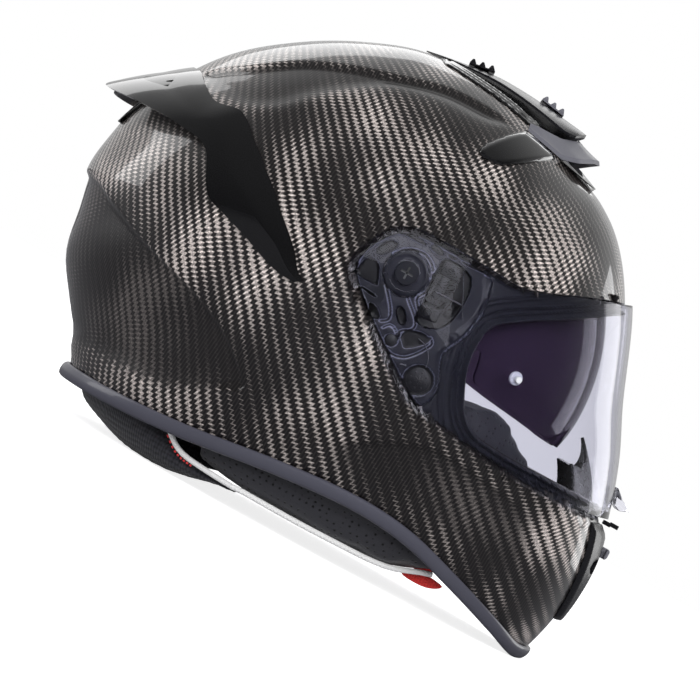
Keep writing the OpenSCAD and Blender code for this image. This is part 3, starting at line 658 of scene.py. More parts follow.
def extruded(outline: Table, run: Sequence[float]) -> Mesh:
    """Carry a flat outline along a straight run.

    Args:
        outline: Its points.
        run: How far it is carried.

    Returns:
        The closed mesh.
    """
    bm = bmesh.new()
    face = bm.faces.new([bm.verts.new(point) for point in outline])
    out = bmesh.ops.extrude_face_region(bm, geom=[face])
    moved = [v for v in out["geom"] if isinstance(v, bmesh.types.BMVert)]
    bmesh.ops.translate(bm, verts=moved, vec=run)
    bmesh.ops.recalc_face_normals(bm, faces=bm.faces)
    return bm


def prism(outline: Table, low: float, high: float, edge: float = 0.3, side: float = 1.0) -> Mesh:
    """Side-view outline carried from low to high out of the middle, on the given side, with rounded edges."""
    return soften(extruded([(x, side * low, z) for x, z in outline], (0, side * (high - low), 0)), edge)


def rounded(points: Table, times: int = 2, closed: bool = True) -> list[tuple[float, float]]:
    """Cut the corners of a side-view outline again and again, so that they turn round.

    Args:
        points: Places as [fore and aft, height].
        times: How often they are cut.
        closed: Whether the last point joins the first.

    Returns:
        The new places.
    """
    pts = [tuple(p) for p in points]
    for _ in range(times):
        pairs = list(zip(pts, pts[1:] + pts[:1] if closed else pts[1:]))
        new = [tuple(q * (1 - s) + r * s for q, r in zip(p, n)) for p, n in pairs for s in (0.25, 0.75)]
        pts = new if closed else [pts[0], *new, pts[-1]]
    return pts


def straight(points: Table, closed: bool = True, times: int = 2) -> Line:
    """Line of straight runs with small rounded corners."""
    pts = rounded(points, times, closed)
    return Line(pts, closed, range(len(pts)))


# --- Finishes ---

def colour(code: str, share: float = 1.0) -> tuple[float, float, float, float]:
    """Turn an sRGB hex code into a linear colour.

    Args:
        code: The code, such as "#24252d".
        share: How much lighter or darker the colour becomes.

    Returns:
        The colour, opaque.
    """
    parts = [int(code[i:i + 2], 16) / 255 for i in (1, 3, 5)]
    linear = [c / 12.92 if c <= 0.04045 else ((c + 0.055) / 1.055) ** 2.4 for c in parts]
    return tuple(min(1.0, c * share) for c in linear) + (1.0,)


def add(tree: Tree, kind: str, links: dict | Sequence = (), out: int | str = 0,
        **settings: object) -> Socket | None:
    """Add a node with its settings and links.

    Args:
        tree: Tree that takes the node.
        kind: Node type, without its ShaderNode prefix.
        links: A value or an output socket for each input, by name or number, or in order from the first.
        out: Name or number of the output that is wanted.
        settings: Attributes of the node.

    Returns:
        That output, or none where the node has no outputs.
    """
    made = tree.nodes.new("ShaderNode" + kind)
    for key, value in settings.items():
        setattr(made, key, value)
    for key, value in links.items() if isinstance(links, dict) else enumerate(links):
        if isinstance(value, Socket):
            tree.links.new(value, made.inputs[key])
        else:
            made.inputs[key].default_value = value
    return made.outputs[out] if made.outputs else None


@dataclass(frozen=True)
class Finish:
    """Plain moulded surface: a colour, its sheen and a fine grain, and, if it has pits, painted shade in their wells
    and a painted highlight on their lips.
    """

    name: str
    hue: str
    roughness: float
    metallic: float = 0.0
    coat: float = 0.0
    grain: float = 0.12
    grain_mm: float = 0.5
    shade: float = 0.12
    paints_pit_shade: bool = False
    # Painted shade laid into the deepest part of each well
    painted_well_shade: str = "#030304"
    # Painted highlight laid along the lips where the face starts to sink
    lip: str = "#7c7e90"

    def surface(self, tree: Tree, shader: Node) -> None:
        """Lay the grain, the slight unevenness of colour, and for pits the painted shade in the wells and the
        painted highlight on the lips.

        Args:
            tree: Tree of the material.
            shader: Its main shader.
        """
        spot = add(tree, "TexCoord", out="Object")
        fine = add(tree, "TexNoise", {"Vector": spot, "Scale": 1000 / (self.grain_mm * 4), "Detail": 3.0})
        broad = add(tree, "TexNoise", {"Vector": spot, "Scale": 18.0, "Detail": 4.0})
        bump = add(tree, "Bump", {"Height": fine, "Strength": self.grain, "Distance": 0.0003})
        tree.links.new(bump, shader.inputs["Normal"])
        hue = add(tree, "Mix", {0: broad, 6: colour(self.hue, 1 - self.shade), 7: colour(self.hue, 1 + self.shade)},
                  2, data_type="RGBA")
        if self.paints_pit_shade:
            sunk = add(tree, "Attribute", out="Fac", attribute_name="sunk")
            # Painted shade: the colour darkens where the face sinks deepest into a well
            deep = add(tree, "MapRange", (sunk, 1.75, 2.3))
            hue = add(tree, "Mix", {0: deep, 6: hue, 7: colour(self.painted_well_shade)}, 2, data_type="RGBA")
            # Painted highlight: a light band where the face starts to sink, along the lips
            rise = add(tree, "MapRange", (sunk, 1.62, 1.7))
            fall = add(tree, "MapRange", (sunk, 1.8, 1.95, 1.0, 0.0))
            edge = add(tree, "Math", (rise, fall), operation="MULTIPLY")
            hue = add(tree, "Mix", {0: edge, 6: hue, 7: colour(self.lip)}, 2, data_type="RGBA")
        tree.links.new(hue, shader.inputs["Base Color"])
        rough = add(tree, "MapRange", {"Value": fine, "To Min": self.roughness * 0.85,
                                       "To Max": min(1.0, self.roughness * 1.15)})
        tree.links.new(rough, shader.inputs["Roughness"])

    def make(self) -> bpy.types.Material:
        """Make the material of this finish, once.

        Returns:
            The material.
        """
        known = bpy.data.materials.get(self.name)
        if known:
            return known
        made = bpy.data.materials.new(self.name)
        made.use_nodes = True
        shader = made.node_tree.nodes["Principled BSDF"]
        for socket, value in (("Base Color", colour(self.hue)), ("Roughness", self.roughness),
                              ("Metallic", self.metallic), ("Coat Weight", self.coat), ("Coat Roughness", 0.03)):
            shader.inputs[socket].default_value = value
        self.surface(made.node_tree, shader)
        made.diffuse_color = colour(self.hue)
        return made


@dataclass(frozen=True)
class CarbonTwill(Finish):
    """Carbon cloth in 2x2 twill under clear coat: chains of floats with painted glints in their colour where they
    crest.
    """

    chain_mm: float = 5.3
    float_mm: float = 2.45
    swing_mm: float = 0.95
    lean: float = 40.0
    bend: float = 0.0013
    # Painted glint: the light colour that the floats are painted where they should catch the lamps
    painted_glint: str = "#fff2ec"
    rest: str = "#100d0f"

    def surface(self, tree: Tree, shader: Node) -> None:
        """Lay the chains of floats with their painted glints, and painted shade that dims them where the shell is
        pressed in.

        Args:
            tree: Tree of the material.
            shader: Its main shader.
        """
        cloth = add(tree, "UVMap", uv_map="Cloth")
        laid = add(tree, "Mapping", {"Vector": cloth, "Rotation": (0, 0, -math.radians(self.lean))})
        s = add(tree, "SeparateXYZ", (laid,))
        q = s.node.outputs[1]
        # The chains fan out a little, as cloth does that is drawn over a dome
        fan = add(tree, "Math", (add(tree, "Math", (s, 50.0), operation="ADD"), q), operation="MULTIPLY")
        turned = add(tree, "Math", (fan, self.bend, s), operation="MULTIPLY_ADD")
        across, chain = self.cell(tree, turned, self.chain_mm)
        run, _ = self.cell(tree, add(tree, "Math", (chain, 0.9, q), operation="MULTIPLY_ADD"), self.float_mm)
        # Each float lies as a zigzag stroke, whose width and painted glint brightness come and go in broad clouds
        hand = add(tree, "MapRange", (self.cloud(tree, laid, 0.03), 0.38, 0.62))
        level = add(tree, "MapRange", (self.cloud(tree, laid, 0.017), 0.38, 0.64, 0.2, 1.0))
        size = add(tree, "Math", (run,), operation="ABSOLUTE")
        bend = add(tree, "Math", (size, -4 * self.swing_mm / self.float_mm, self.swing_mm),
                   operation="MULTIPLY_ADD")
        away = add(tree, "Math", (add(tree, "Math", (across, bend), operation="SUBTRACT"),), operation="ABSOLUTE")
        wide = add(tree, "MapRange", (level, 0.2, 1.0, 0.5, 1.75))
        stroke = add(tree, "MapRange", (add(tree, "Math", (away, wide), operation="SUBTRACT"), 0.0, -0.45))
        # Painted highlight: the two limbs of a zigzag face different ways, so one of them gets a brighter painted
        # glint than the other
        rising = add(tree, "MapRange", (run, -0.15, 0.15))
        first = add(tree, "MapRange", (hand, 0.0, 1.0, 0.25, 1.0))
        second = add(tree, "MapRange", (hand, 0.0, 1.0, 1.0, 0.25))
        painted_limb_glint = add(tree, "Mix", {0: rising, 2: first, 3: second})
        shine = add(tree, "Math", (stroke, painted_limb_glint), operation="MULTIPLY")
        thread = add(tree, "MapRange", (self.cloud(tree, laid, 1.1), 0.3, 0.7, 0.35, 1.35))
        # Painted shade: the glints dim to a sixth where the shell is pressed in
        sunk = add(tree, "Attribute", out="Fac", attribute_name="sunk")
        light = shine
        for part in (level, thread, add(tree, "MapRange", (sunk, 0.4, 1.6, 1.0, 0.16))):
            light = add(tree, "Math", (light, part), operation="MULTIPLY")
        slant = add(tree, "Math", (q, s), operation="SUBTRACT")
        wave = add(tree, "Math", (slant, 2 * math.pi / self.float_mm), operation="MULTIPLY")
        crest = add(tree, "Math", (add(tree, "Math", (wave,), operation="SINE"), 0.0), operation="MAXIMUM")
        faint = add(tree, "Math", (crest, 0.02, light), operation="MULTIPLY_ADD")
        # Painted glint: the base colour runs from the dark rest to the glint colour by the strength of the glint
        hue = add(tree, "Mix", {0: faint, 6: colour(self.rest), 7: colour(self.painted_glint)}, 2, data_type="RGBA")
        tree.links.new(hue, shader.inputs["Base Color"])
        bump = add(tree, "Bump", {"Height": shine, "Strength": 0.3, "Distance": 0.0002})
        tree.links.new(bump, shader.inputs["Normal"])

    def cell(self, tree: Tree, at: Socket, size: float) -> tuple[Socket, Socket]:
        """Split a line of places into cells.

        Args:
            tree: Tree of the material.
            at: Place in millimetres.
            size: Length of a cell.

        Returns:
            Place from the middle of its cell, and the number of the cell.
        """
        share = add(tree, "Math", (at, size), operation="DIVIDE")
        number = add(tree, "Math", (share,), operation="FLOOR")
        rest = add(tree, "Math", (share, number), operation="SUBTRACT")
        middle = add(tree, "Math", (rest, 0.5), operation="SUBTRACT")
        return add(tree, "Math", (middle, size), operation="MULTIPLY"), number

    def cloud(self, tree: Tree, at: Socket, scale: float) -> Socket:
        """Soft unevenness that changes scale times in a millimetre."""
        return add(tree, "TexNoise", {"Vector": at, "Scale": scale, "Detail": 1.0})


@dataclass(frozen=True)
class ClearSheet(Finish):
    """Polished sheet with a coating against glare, which lowers its IOR, that light passes through."""

    ior: float = 1.25
    haze: float = 0.0

    def surface(self, tree: Tree, shader: Node) -> None:
        """Let light through, shadows as well.

        Args:
            tree: Tree of the material.
            shader: Its main shader.
        """
        shader.inputs["Transmission Weight"].default_value = 1.0 - self.haze
        shader.inputs["IOR"].default_value = self.ior
        shadow = add(tree, "LightPath", out="Is Shadow Ray")
        clear = add(tree, "BsdfTransparent", {"Color": colour(self.hue)})
        mix = add(tree, "MixShader", (shadow, shader.outputs[0], clear))
        tree.links.new(mix, tree.nodes["Material Output"].inputs["Surface"])


@dataclass(frozen=True)
class Woven(Finish):
    """Woven or knitted cloth: threads over and under on the piece's own places in millimetres, painted darker in
    their hollows and lighter on their crests.
    """

    thread_mm: float = 0.9
    sheen: float = 0.25
    on_cloth: bool = False
    # Share of painted shade in the hollows of the threads, and of painted highlight on their crests
    depth: float = 0.45

    def surface(self, tree: Tree, shader: Node) -> None:
        """Weave a plain cloth as rows of small humps, with painted shade in the hollows and a painted highlight on
        the crests.

        Args:
            tree: Tree of the material.
            shader: Its main shader.
        """
        shader.inputs["Sheen Weight"].default_value = self.sheen
        shader.inputs["Sheen Roughness"].default_value = 0.5
        if self.on_cloth:
            base, scale = add(tree, "UVMap", uv_map="Cloth"), 1.0
        else:
            base, scale = add(tree, "TexCoord", out="Object"), 1000.0
        laid = add(tree, "Mapping", {"Vector": base, "Scale": (scale / self.thread_mm,) * 3})
        split = add(tree, "SeparateXYZ", (laid,)).node
        waves = [add(tree, "Math", (add(tree, "Math", (split.outputs[k], math.pi), operation="MULTIPLY"),),
                     operation="SINE") for k in range(3)]
        pattern = add(tree, "Math", (waves[0], waves[1]), operation="MULTIPLY")
        if not self.on_cloth:
            pattern = add(tree, "Math", (waves[2], 0.7, pattern), operation="MULTIPLY_ADD")
        fuzz = add(tree, "TexNoise", {"Vector": laid, "Scale": 0.8, "Detail": 4.0})
        height = add(tree, "Math", (pattern, 0.5, fuzz), operation="MULTIPLY_ADD")
        bump = add(tree, "Bump", {"Height": height, "Strength": 0.6, "Distance": 0.0004})
        tree.links.new(bump, shader.inputs["Normal"])
        # Painted shade and highlight: darker and lighter copies of the colour, by the height of the weave
        amount = add(tree, "MapRange", (height, -0.1, 1.1))
        dark, lit = colour(self.hue, 1 - self.depth), colour(self.hue, 1 + 0.8 * self.depth)
        hue = add(tree, "Mix", {0: amount, 6: dark, 7: lit}, 2, data_type="RGBA")
        tree.links.new(hue, shader.inputs["Base Color"])


@dataclass(frozen=True)
class Perforated(Finish):
    """Soft leatherette with rows of fine holes, painted dark for the shade inside them."""

    pitch_mm: float = 2.6
    # Painted shade: the near-black colour inside the holes
    hole_shade: str = "#0a0a0c"

    def surface(self, tree: Tree, shader: Node) -> None:
        """Punch the holes, painted dark for the shade inside them, and lay the leather grain.

        Args:
            tree: Tree of the material.
            shader: Its main shader.
        """
        shader.inputs["Sheen Weight"].default_value = 0.2
        spot = add(tree, "TexCoord", out="Object")
        laid = add(tree, "Mapping", {"Vector": spot, "Rotation": (0, 0, math.radians(45)),
                                     "Scale": (1000 / self.pitch_mm,) * 3})
        holes = add(tree, "TexVoronoi", {"Vector": laid, "Scale": 1.0, "Randomness": 0.0})
        grain = add(tree, "TexVoronoi", {"Vector": spot, "Scale": 900.0})
        punch = add(tree, "MapRange", (holes, 0.16, 0.3))
        height = add(tree, "Math", (grain, 0.25, punch), operation="MULTIPLY_ADD")
        bump = add(tree, "Bump", {"Height": height, "Strength": 0.7, "Distance": 0.0004})
        tree.links.new(bump, shader.inputs["Normal"])
        hue = add(tree, "Mix", {0: punch, 6: colour(self.hole_shade), 7: colour(self.hue)}, 2, data_type="RGBA")
        tree.links.new(hue, shader.inputs["Base Color"])


class Look(Enum):
    """Finishes of the helmet, each named for the real material."""

    # Black carbon tows with painted brown-grey glints, deep under a wet gloss
    CARBON = CarbonTwill("carbon_twill_clear_coat", "#141315", 0.38, coat=1.0)
    # Slate rubber with a satin skin and a soft highlight along its crown
    EDGE_RUBBER = Finish("moulded_slate_rubber", "#50505c", 0.4, coat=0.4, grain=0.2)
    # Black seal rubber, duller than the edge
    SEAL_RUBBER = Finish("extruded_seal_rubber", "#24252d", 0.5, grain=0.2)
    # Clear moulded polycarbonate with polished faces
    CLEAR = ClearSheet("clear_polycarbonate", "#e6e6ee", 0.0)
    # Dark smoke polycarbonate that lets a little purple-grey through
    SMOKE = ClearSheet("smoke_polycarbonate", "#5c4c66", 0.0, haze=0.35)
    # Fine matte nylon moulding, blue-black, with painted shade in its sunk wells and a painted highlight on their
    # lips
    NYLON = Finish("matte_moulded_nylon", "#23242d", 0.4, grain=0.05, paints_pit_shade=True)
    # Gloss painted ABS, jet black
    GLOSS_BLACK = Finish("gloss_painted_abs", "#0b0b0d", 0.12, coat=1.0, grain=0.02)
    # Satin painted ABS, mid grey
    SATIN_GREY = Finish("satin_painted_abs", "#74747d", 0.35, grain=0.1)
    # Moulded ABS with a satin black skin
    BLACK_ABS = Finish("moulded_black_abs", "#131316", 0.4, grain=0.2)
    # Knitted lining cloth, charcoal with a soft nap
    KNIT = Woven("charcoal_lining_knit", "#303036", 0.95, thread_mm=1.1)
    # Perforated leatherette, dull charcoal
    LEATHERETTE = Perforated("perforated_leatherette", "#36363c", 0.6)
    # White satin piping cord
    PIPING = Woven("white_satin_piping", "#ffffff", 0.5, thread_mm=0.8, on_cloth=True, depth=0.05)
    # Red sewing thread, laid in short stitches that catch the light
    RED_TAPE = Woven("red_sewing_thread", "#e22f30", 0.8, thread_mm=0.7, on_cloth=True, depth=0.1)
    # Red woven tape with a fine rib
    RED_TAPE_FLAT = Woven("red_woven_tape", "#ff403c", 0.8, thread_mm=0.7, depth=0.12)
    # Moulded ABS with a smooth satin face
    SATIN_BLACK = Finish("satin_moulded_abs", "#1a1a1e", 0.28, grain=0.08)
    # Black nylon webbing with a coarse rib
    WEBBING = Woven("black_nylon_webbing", "#141416", 0.7, thread_mm=1.2)
    # Black expanded foam with a fine bead
    FOAM = Finish("black_bead_foam", "#151517", 0.9, grain=0.6, grain_mm=2.0)
    # Bright brushed stainless steel
    STEEL = Finish("brushed_stainless_steel", "#c9cbd0", 0.25, metallic=1.0, grain=0.1)
    # White moulded acetal stud
    ACETAL = Finish("white_acetal", "#e9ebf0", 0.3, grain=0.05)


def hang(bm: Mesh, name: str) -> Piece:
    """Put a mesh into the scene as an object.

    Args:
        bm: The mesh, which is used up.
        name: Name of the object.

    Returns:
        The object.
    """
    mesh = bpy.data.meshes.new(name)
    bm.to_mesh(mesh)
    bm.free()
    made = bpy.data.objects.new(name, mesh)
    bpy.context.scene.collection.objects.link(made)
    return made


def place(bm: Mesh, name: str, look: Look, node: str = "", slot: str = "", body: str = "helmet",
          sharp: float = 42.0) -> Piece:
    """Make a finished piece of a mesh in millimetres.

    Args:
        bm: The mesh, which is used up.
        name: Name of the piece.
        look: Its finish.
        node: Frame node that it replaces, if any.
        slot: Material slot of the record; not used.
        body: Body that it rides on.
        sharp: Angle in degrees past which an edge stays sharp.

    Returns:
        The piece, at the origin and smooth shaded.
    """
    bmesh.ops.scale(bm, verts=bm.verts, vec=(MM, MM, MM))
    bm.normal_update()
    limit = math.radians(sharp)
    for f in bm.faces:
        f.smooth = True
    for e in bm.edges:
        e.smooth = len(e.link_faces) != 2 or e.calc_face_angle(0.0) < limit
    piece = hang(bm, name)
    piece.data.materials.append(look.value.make())
    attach(piece, body)
    if node:
        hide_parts(node)
    LOG.info("%s: %d faces", name, len(piece.data.polygons))
    return piece


def place_pair(right: Mesh, name: str, look: Look, node: str, slot: str, sharp: float = 42.0) -> list[Piece]:
    """Make a finished piece of a mesh of the right side, and its mirror image on the left, as place does."""
    left = mirrored(right)
    return [place(bm, f"{name}_{hand}", look, f"{node}_{hand}", slot, sharp=sharp)
            for bm, hand in ((right, "right"), (left, "left"))]


def thicken(piece: Piece, wall: float, outwards: float = -1.0, edge: float = 0.3) -> None:
    """Give a sheet its wall and round its edges.

    Args:
        piece: The sheet.
        wall: Thickness in millimetres.
        outwards: Side that the wall goes to: -1 inwards, 0 both ways, 1 outwards.
        edge: Radius of its edges, or nought for sharp ones.
    """
    solid = piece.modifiers.new("wall", "SOLIDIFY")
    solid.thickness, solid.offset = wall * MM, outwards
    if edge:
        bevel = piece.modifiers.new("edge", "BEVEL")
        bevel.width, bevel.segments, bevel.limit_method = edge * MM, 2, "ANGLE"
        bevel.angle_limit = math.radians(50)


RIM = ((-170, 12), (-125, 14), (-90, 15), (-50, 18.5), (0, 25.5), (40, 28.5), (70, 26), (100, 17.5), (130, 7),
       (146, 0.6), (152, 0), (190, 0))


def over_rim(h: float) -> Field:
    """Field that is positive below the rim line raised by h."""
    return lambda spots: hermite(RIM, np.clip(spots[:, 0], -170, 190)) + h - spots[:, 2]


POCKET = Line([(-18.2, 136.6), (-16, 142), (-12.5, 149), (-7, 157.5), (2, 162.3), (15.5, 163.2), (46.5, 162.6),
               (59.4, 162.2), (71.7, 165.6), (90, 173.5), (110.6, 182), (130, 189), (220, 189), (220, 77),
               (127, 78.4), (100.7, 78.8), (76.2, 81.3), (62.6, 83.2), (47.5, 84.6), (35, 87.8), (22.7, 96),
               (8.8, 106.6), (-6.6, 119), (-16.6, 128)], closed=True, corners=(12, 13))
EYEPORT = Line([(56.6, 130), (57, 118), (61.2, 105.5), (68.5, 93.5), (76, 88.6), (90, 86.6), (124, 86.3),
                (220, 86.3), (220, 179), (119, 179), (106.5, 170.8), (86.6, 157.8), (69.6, 147.2), (58.4, 138)],
               closed=True, corners=(7, 8))
SHIELD = Line([(-17, 136.5), (-15, 141.5), (-11.6, 148.5), (-6.4, 156.6), (2.4, 161.2), (15.5, 162.1),
               (46.5, 161.5), (59.6, 161.1), (72, 164.5), (90.3, 172.4), (111, 180.9), (119.6, 184.8), (220, 187),
               (220, 83.6), (159.5, 83.6), (127, 79.6), (100.7, 80), (76.2, 82.5), (62.6, 84.4), (47.5, 85.8),
               (35.4, 89), (23.2, 97.1), (9.4, 107.7), (-5.4, 119.5), (-15.6, 128.5)], closed=True,
              corners=(12, 13))


@dataclass
class Panel:
    """Pressed-in field of the shell: a crisp step on one line, fading out on the other."""

    crisp: Line
    area: Line
    deep: float
    step: float
    fade: Line
    fade_mm: float

    def drop(self, spots: Spots) -> Row:
        """Measure how far each point sinks.

        Args:
            spots: The points.

        Returns:
            Depth at each point.
        """
        x, z = spots[:, 0], spots[:, 2]
        depth = self.deep * ease(0, self.step, self.crisp.nearest(x, z)[0])
        depth = depth * ease(0, self.fade_mm, self.fade.nearest(x, z)[0])
        return np.where(self.area.holds(x, z), depth, 0.0)


@dataclass
class Shell:
    """Carbon shell with its panels, pocket, eyeport and rim."""

    wall_mm: float = 3.5
    pocket_mm: float = 4.5
    cell: float = 4.6
    rim_mm: float = 3.4
    arch: tuple = ((-190, 112), (-148.4, 110.4), (-135.2, 104.3), (-109.2, 94.7), (-88.1, 88.8), (-67.4, 81.8),
                   (-55.2, 75.8), (-41.1, 65.5), (-32.4, 57.6))
    arch_foot: tuple = ((-32.4, 57.6), (-36.5, 51), (-50.6, 44.2), (-72.2, 34.8), (-110, 32), (-190, 28))
    chin: tuple = (
        (7.4, 51.1), (22.4, 57.7), (41.7, 67.5), (57.5, 73.7), (71.8, 74.8), (92.9, 72.9), (113, 70.4), (132, 69.2)
    )
    chin_foot: tuple = ((132, 69.2), (140, 50), (142, 20), (100, 24), (60, 32), (18, 34), (7.4, 51.1))
    valley: tuple = ((-132, 178), (-129.1, 182.2), (-106.2, 197.8), (-85.2, 211.3), (-62.1, 220.6), (-37.7, 227.4),
                     (-16.2, 233.4), (10, 234), (24.8, 231.7))
    valley_foot: tuple = (
        (24.8, 231.7), (10, 224.5), (-16, 222.6), (-29.1, 219.8), (-40.1, 216), (-54.5, 206.7), (-70.7, 193.7),
        (-84.6, 180.5), (-100.1, 173), (-116, 172), (-132, 178)
    )
    forehead: tuple = (
        (50.4, 228.1), (60.3, 225.4), (74.7, 218.3), (86.5, 210.6), (95.8, 200.9), (108.8, 180.7), (110, 150)
    )
    rear: tuple = ((-146, 108), (-125.4, 145.8), (-142.1, 155.3))
    brow: tuple = ((36.3, 207.4), (52.5, 201.4), (69, 189.3))

    def panels(self) -> list[Panel]:
        """Lay out the pressed-in fields.

        Returns:
            The fields: the rear arch, the chin and the valley of the crown.
        """
        rows = ((self.arch, self.arch_foot[1:], self.arch_foot[1:], 2.6, 4.2, 5.0),
                (self.chin, self.chin_foot[1:-1], self.chin_foot, 2.2, 4.0, 26.0),
                (self.valley, self.valley_foot[1:-1], self.valley_foot, 2.4, 3.6, 9.0))
        return [Panel(Line(crisp), Line(crisp + rest, closed=True, corners=(0, len(crisp) - 1)), deep, step,
                      Line(foot), fade_mm) for crisp, rest, foot, deep, step, fade_mm in rows]

    def relief(self, spots: Spots) -> Row:
        """Measure the shell's face against the plain skin.

        Args:
            spots: Points of the plain skin.

        Returns:
            Offset outwards at each point.
        """
        off = -sum(panel.drop(spots) for panel in self.panels())
        for line, slope, reach in ((self.forehead, 0.16, 16.0), (self.rear, 0.14, 16.0), (self.brow, 0.06, 20.0)):
            gap, place_on, side = Line(line).nearest(spots[:, 0], spots[:, 2])
            d = np.maximum(0, gap * side)
            off -= slope * d * np.exp(-(d / reach) ** 2) * ease(0, 0.2, place_on) * ease(0, 0.2, 1 - place_on)
        return off - self.pocket_mm * ease(0, 1.3, POCKET.within(spots))

    def build(self) -> None:
        """Mesh, cut and dress the shell."""
        hide = Hide(cell=self.cell)
        hide.trim(over_rim(self.rim_mm))
        hide.trim(EYEPORT.within)
        for line in (Line(self.arch), Line(self.chin), Line(self.valley), Line(self.forehead)):
            for width in (7.0, 4.0):
                hide.split_near(lambda s, line=line: line.nearest(s[:, 0], s[:, 2])[0], width)
        hide.split_near(POCKET.within, 4.0)
        hide.settle(POCKET.within, 0.85)
        shell = place(hide.raise_to(self.relief), "shell", Look.CARBON, "outer_shell", "carbon_shell", sharp=50)
        thicken(shell, self.wall_mm, edge=0)


@dataclass
class Rim:
    """Rubber trim round the lower edge and the seal round the eyeport."""

    high: float = 7.5
    out: float = 3.0
    wall_mm: float = 3.5
    lip: tuple = (1.0, 1.1, 2.9)
    beads: tuple = ((4.2, 0.7, 1.6), (6.8, 0.7, 1.6), (10.4, 0.6, 0.8), (12.6, 0.6, 0.8))

    def trim_spot(self, u: Row, v: Row) -> Spots:
        """Give the points of the trim.

        Args:
            u: Places round the helmet from 0 to 1.
            v: Places round the section from 0 to 1.

        Returns:
            The points.
        """
        phi = u * 360
        flare = 3.5 * np.exp(-((phi - 180) / 38) ** 2)
        out, back = self.out, -self.wall_mm
        row = along([[0.0, out - 1.6], [0.7, out - 0.4], [2.2, out + 0.2], [4.2, out + 0.3], [6.2, out - 0.2],
                     [7.2, out - 1.0], [self.high, 1.0], [self.high - 0.3, 0.1], [4.0, -0.6], [2.8, -2.0],
                     [4.0, -4.6], [6.6, back - 1.6], [6.4, back - 3.2], [1.0, back - 3.2], [0.0, back - 2.0],
                     [0.0, -1.0], [0.0, out - 1.6]], v)
        lift = np.where(row[:, 1] > 0.4, flare * np.clip((7.5 - row[:, 0]) / 7.5, 0, 1), 0)
        return SKIN.wall(phi, RIM, np.maximum(row[:, 0], 0), row[:, 1] + lift)

    def seal(self) -> None:
        """Rubber seal round the eyeport: a flat band with an upright lip, which ends at the base plate."""
        hide = Hide(angles=(-76, 76), cell=3.0)
        plate = straight(PivotGear().outline)
        hide.trim(Line(EYEPORT.dots[::4], closed=True).within)
        hide.trim(lambda s: np.maximum.reduce([plate.within(s) + 0.7, 1.6 - POCKET.within(s), 41 - s[:, 0]]))
        hide.split_near(lambda s: EYEPORT.within(s) + 6, 8.0, 2)

        def lift(spots: Spots) -> Row:
            """Height of the lip and of the beads behind it."""
            gap = np.abs(EYEPORT.within(spots))
            return -3.6 + sum(rise * np.exp(-((gap - at) / width) ** 2)
                              for at, width, rise in (self.lip, *self.beads))

        band = place(hide.raise_to(lift), "eyeport_seal", Look.SEAL_RUBBER, "eyeport_gasket", "gasket_rubber")
        thicken(band, 1.0, edge=0)

    def build(self) -> None:
        """Make the trim and the seal."""
        trim = sheet(220, 48, self.trim_spot)
        place(trim, "edge_rubber", Look.EDGE_RUBBER, "edge_trim", "edge_rubber")
        self.seal()


@dataclass
class FaceShield:
    """Clear face shield with its hubs, studs and lifting tab."""

    gap: float = 1.0
    wall_mm: float = 2.0
    hinge: tuple = (9.2, 141.0)
    boss_r: float = 9.3
    stud_r: float = 5.8
    stud_y: float = 122.7
    lens: tuple = (80.5, 122.2)
    lens_turn: float = math.radians(28)
    tab_side: tuple = (
        (157.2, 100.2), (159.4, 98.4), (162.6, 95.4), (168, 92.8), (168.3, 91.8), (163.5, 89.8), (160.6, 91.2),
        (158.8, 94.6)
    )

    def sheet_piece(self) -> None:
        """The clear sheet, cut to its outline and bored for its hubs."""
        hide = Hide(cell=3.0, angles=(-90, 220))
        hide.keep(SHIELD.within)
        hide.bore(*self.hinge, self.boss_r + 0.4)
        piece = place(hide.raise_to(self.gap), "face_shield", Look.CLEAR, "visor", "clear_shield", "face_shield")
        thicken(piece, self.wall_mm, 1.0, 0.35)

    def hubs(self) -> None:
        """Clear ring and dark hub on each side."""
        x, z = self.hinge
        for side, hand in ((-1, "right"), (1, "left")):
            face = (0, side, 0)
            ring = disc((x, side * (self.stud_y + 2.5), z), self.boss_r, 5.0, face, 64, 0.8, self.stud_r + 0.1)
            place(ring, f"hub_ring_{hand}", Look.CLEAR, f"visor_boss_{hand}", "clear_shield", "face_shield")
            hub = disc((x, side * (self.stud_y + 0.9), z), self.stud_r, 6.2, face, 48, 0.6)
            flange = disc((x, side * self.stud_y, z), 11.2, 1.8, face, 48, 0.4)
            place(join([flange, hub]), f"hub_stud_{hand}", Look.NYLON, f"pivot_stud_{hand}", "mechanism_plastic")
            bars = [block((x - 3.2, -0.3, z - 0.6), (x + 3.2, 0.3, z + 0.6), 0.2),
                    block((x - 0.6, -0.3, z - 3.2), (x + 0.6, 0.3, z + 3.2), 0.2)]
            cross = join(bars)
            bmesh.ops.translate(cross, verts=cross.verts, vec=(0, side * (self.stud_y + 7.1), 0))
            place(cross, f"hub_cross_{hand}", Look.STEEL, "", "steel")

    def lens_studs(self) -> None:
        """White studs that carry an inner lens."""
        parts = []
        for side in (-1, 1):
            y = side * float(SKIN.side_y(*self.lens, self.gap))
            face = Vector((math.sin(self.lens_turn), side * math.cos(self.lens_turn), 0))
            base = Vector((self.lens[0], y, self.lens[1])) - face * 2.7
            parts += [disc(base, 3.4, 1.5, face, 32, 0.3), disc(base + face * 1.2, 1.7, 4.0, face, 24, 0.5)]
        place(join(parts), "lens_studs", Look.ACETAL, "lens_pins", "lens_stud", "face_shield")

    def tab(self) -> None:
        """Clear lifting tab at the lower front corner."""
        bm = soften(extruded([(x, 6, z) for x, z in self.tab_side], (-1.2, 20, 0)), 0.5)
        place(bm, "lifting_tab", Look.CLEAR, "visor_tab", "clear_shield", "face_shield")

    def build(self) -> None:
        """Make every piece of the face shield."""
        self.sheet_piece()
        self.hubs()
        self.lens_studs()
        self.tab()


@dataclass(frozen=True)
class Mark:
    """Raised or sunk field of a moulding: its outline, its height and the run of its edge."""

    outline: tuple
    rise: float
    slope: float = 0.45


@dataclass(frozen=True)
class Groove:
    """Groove or bead of a moulding along a side-view line."""

    path: tuple
    rise: float
    width: float = 0.5


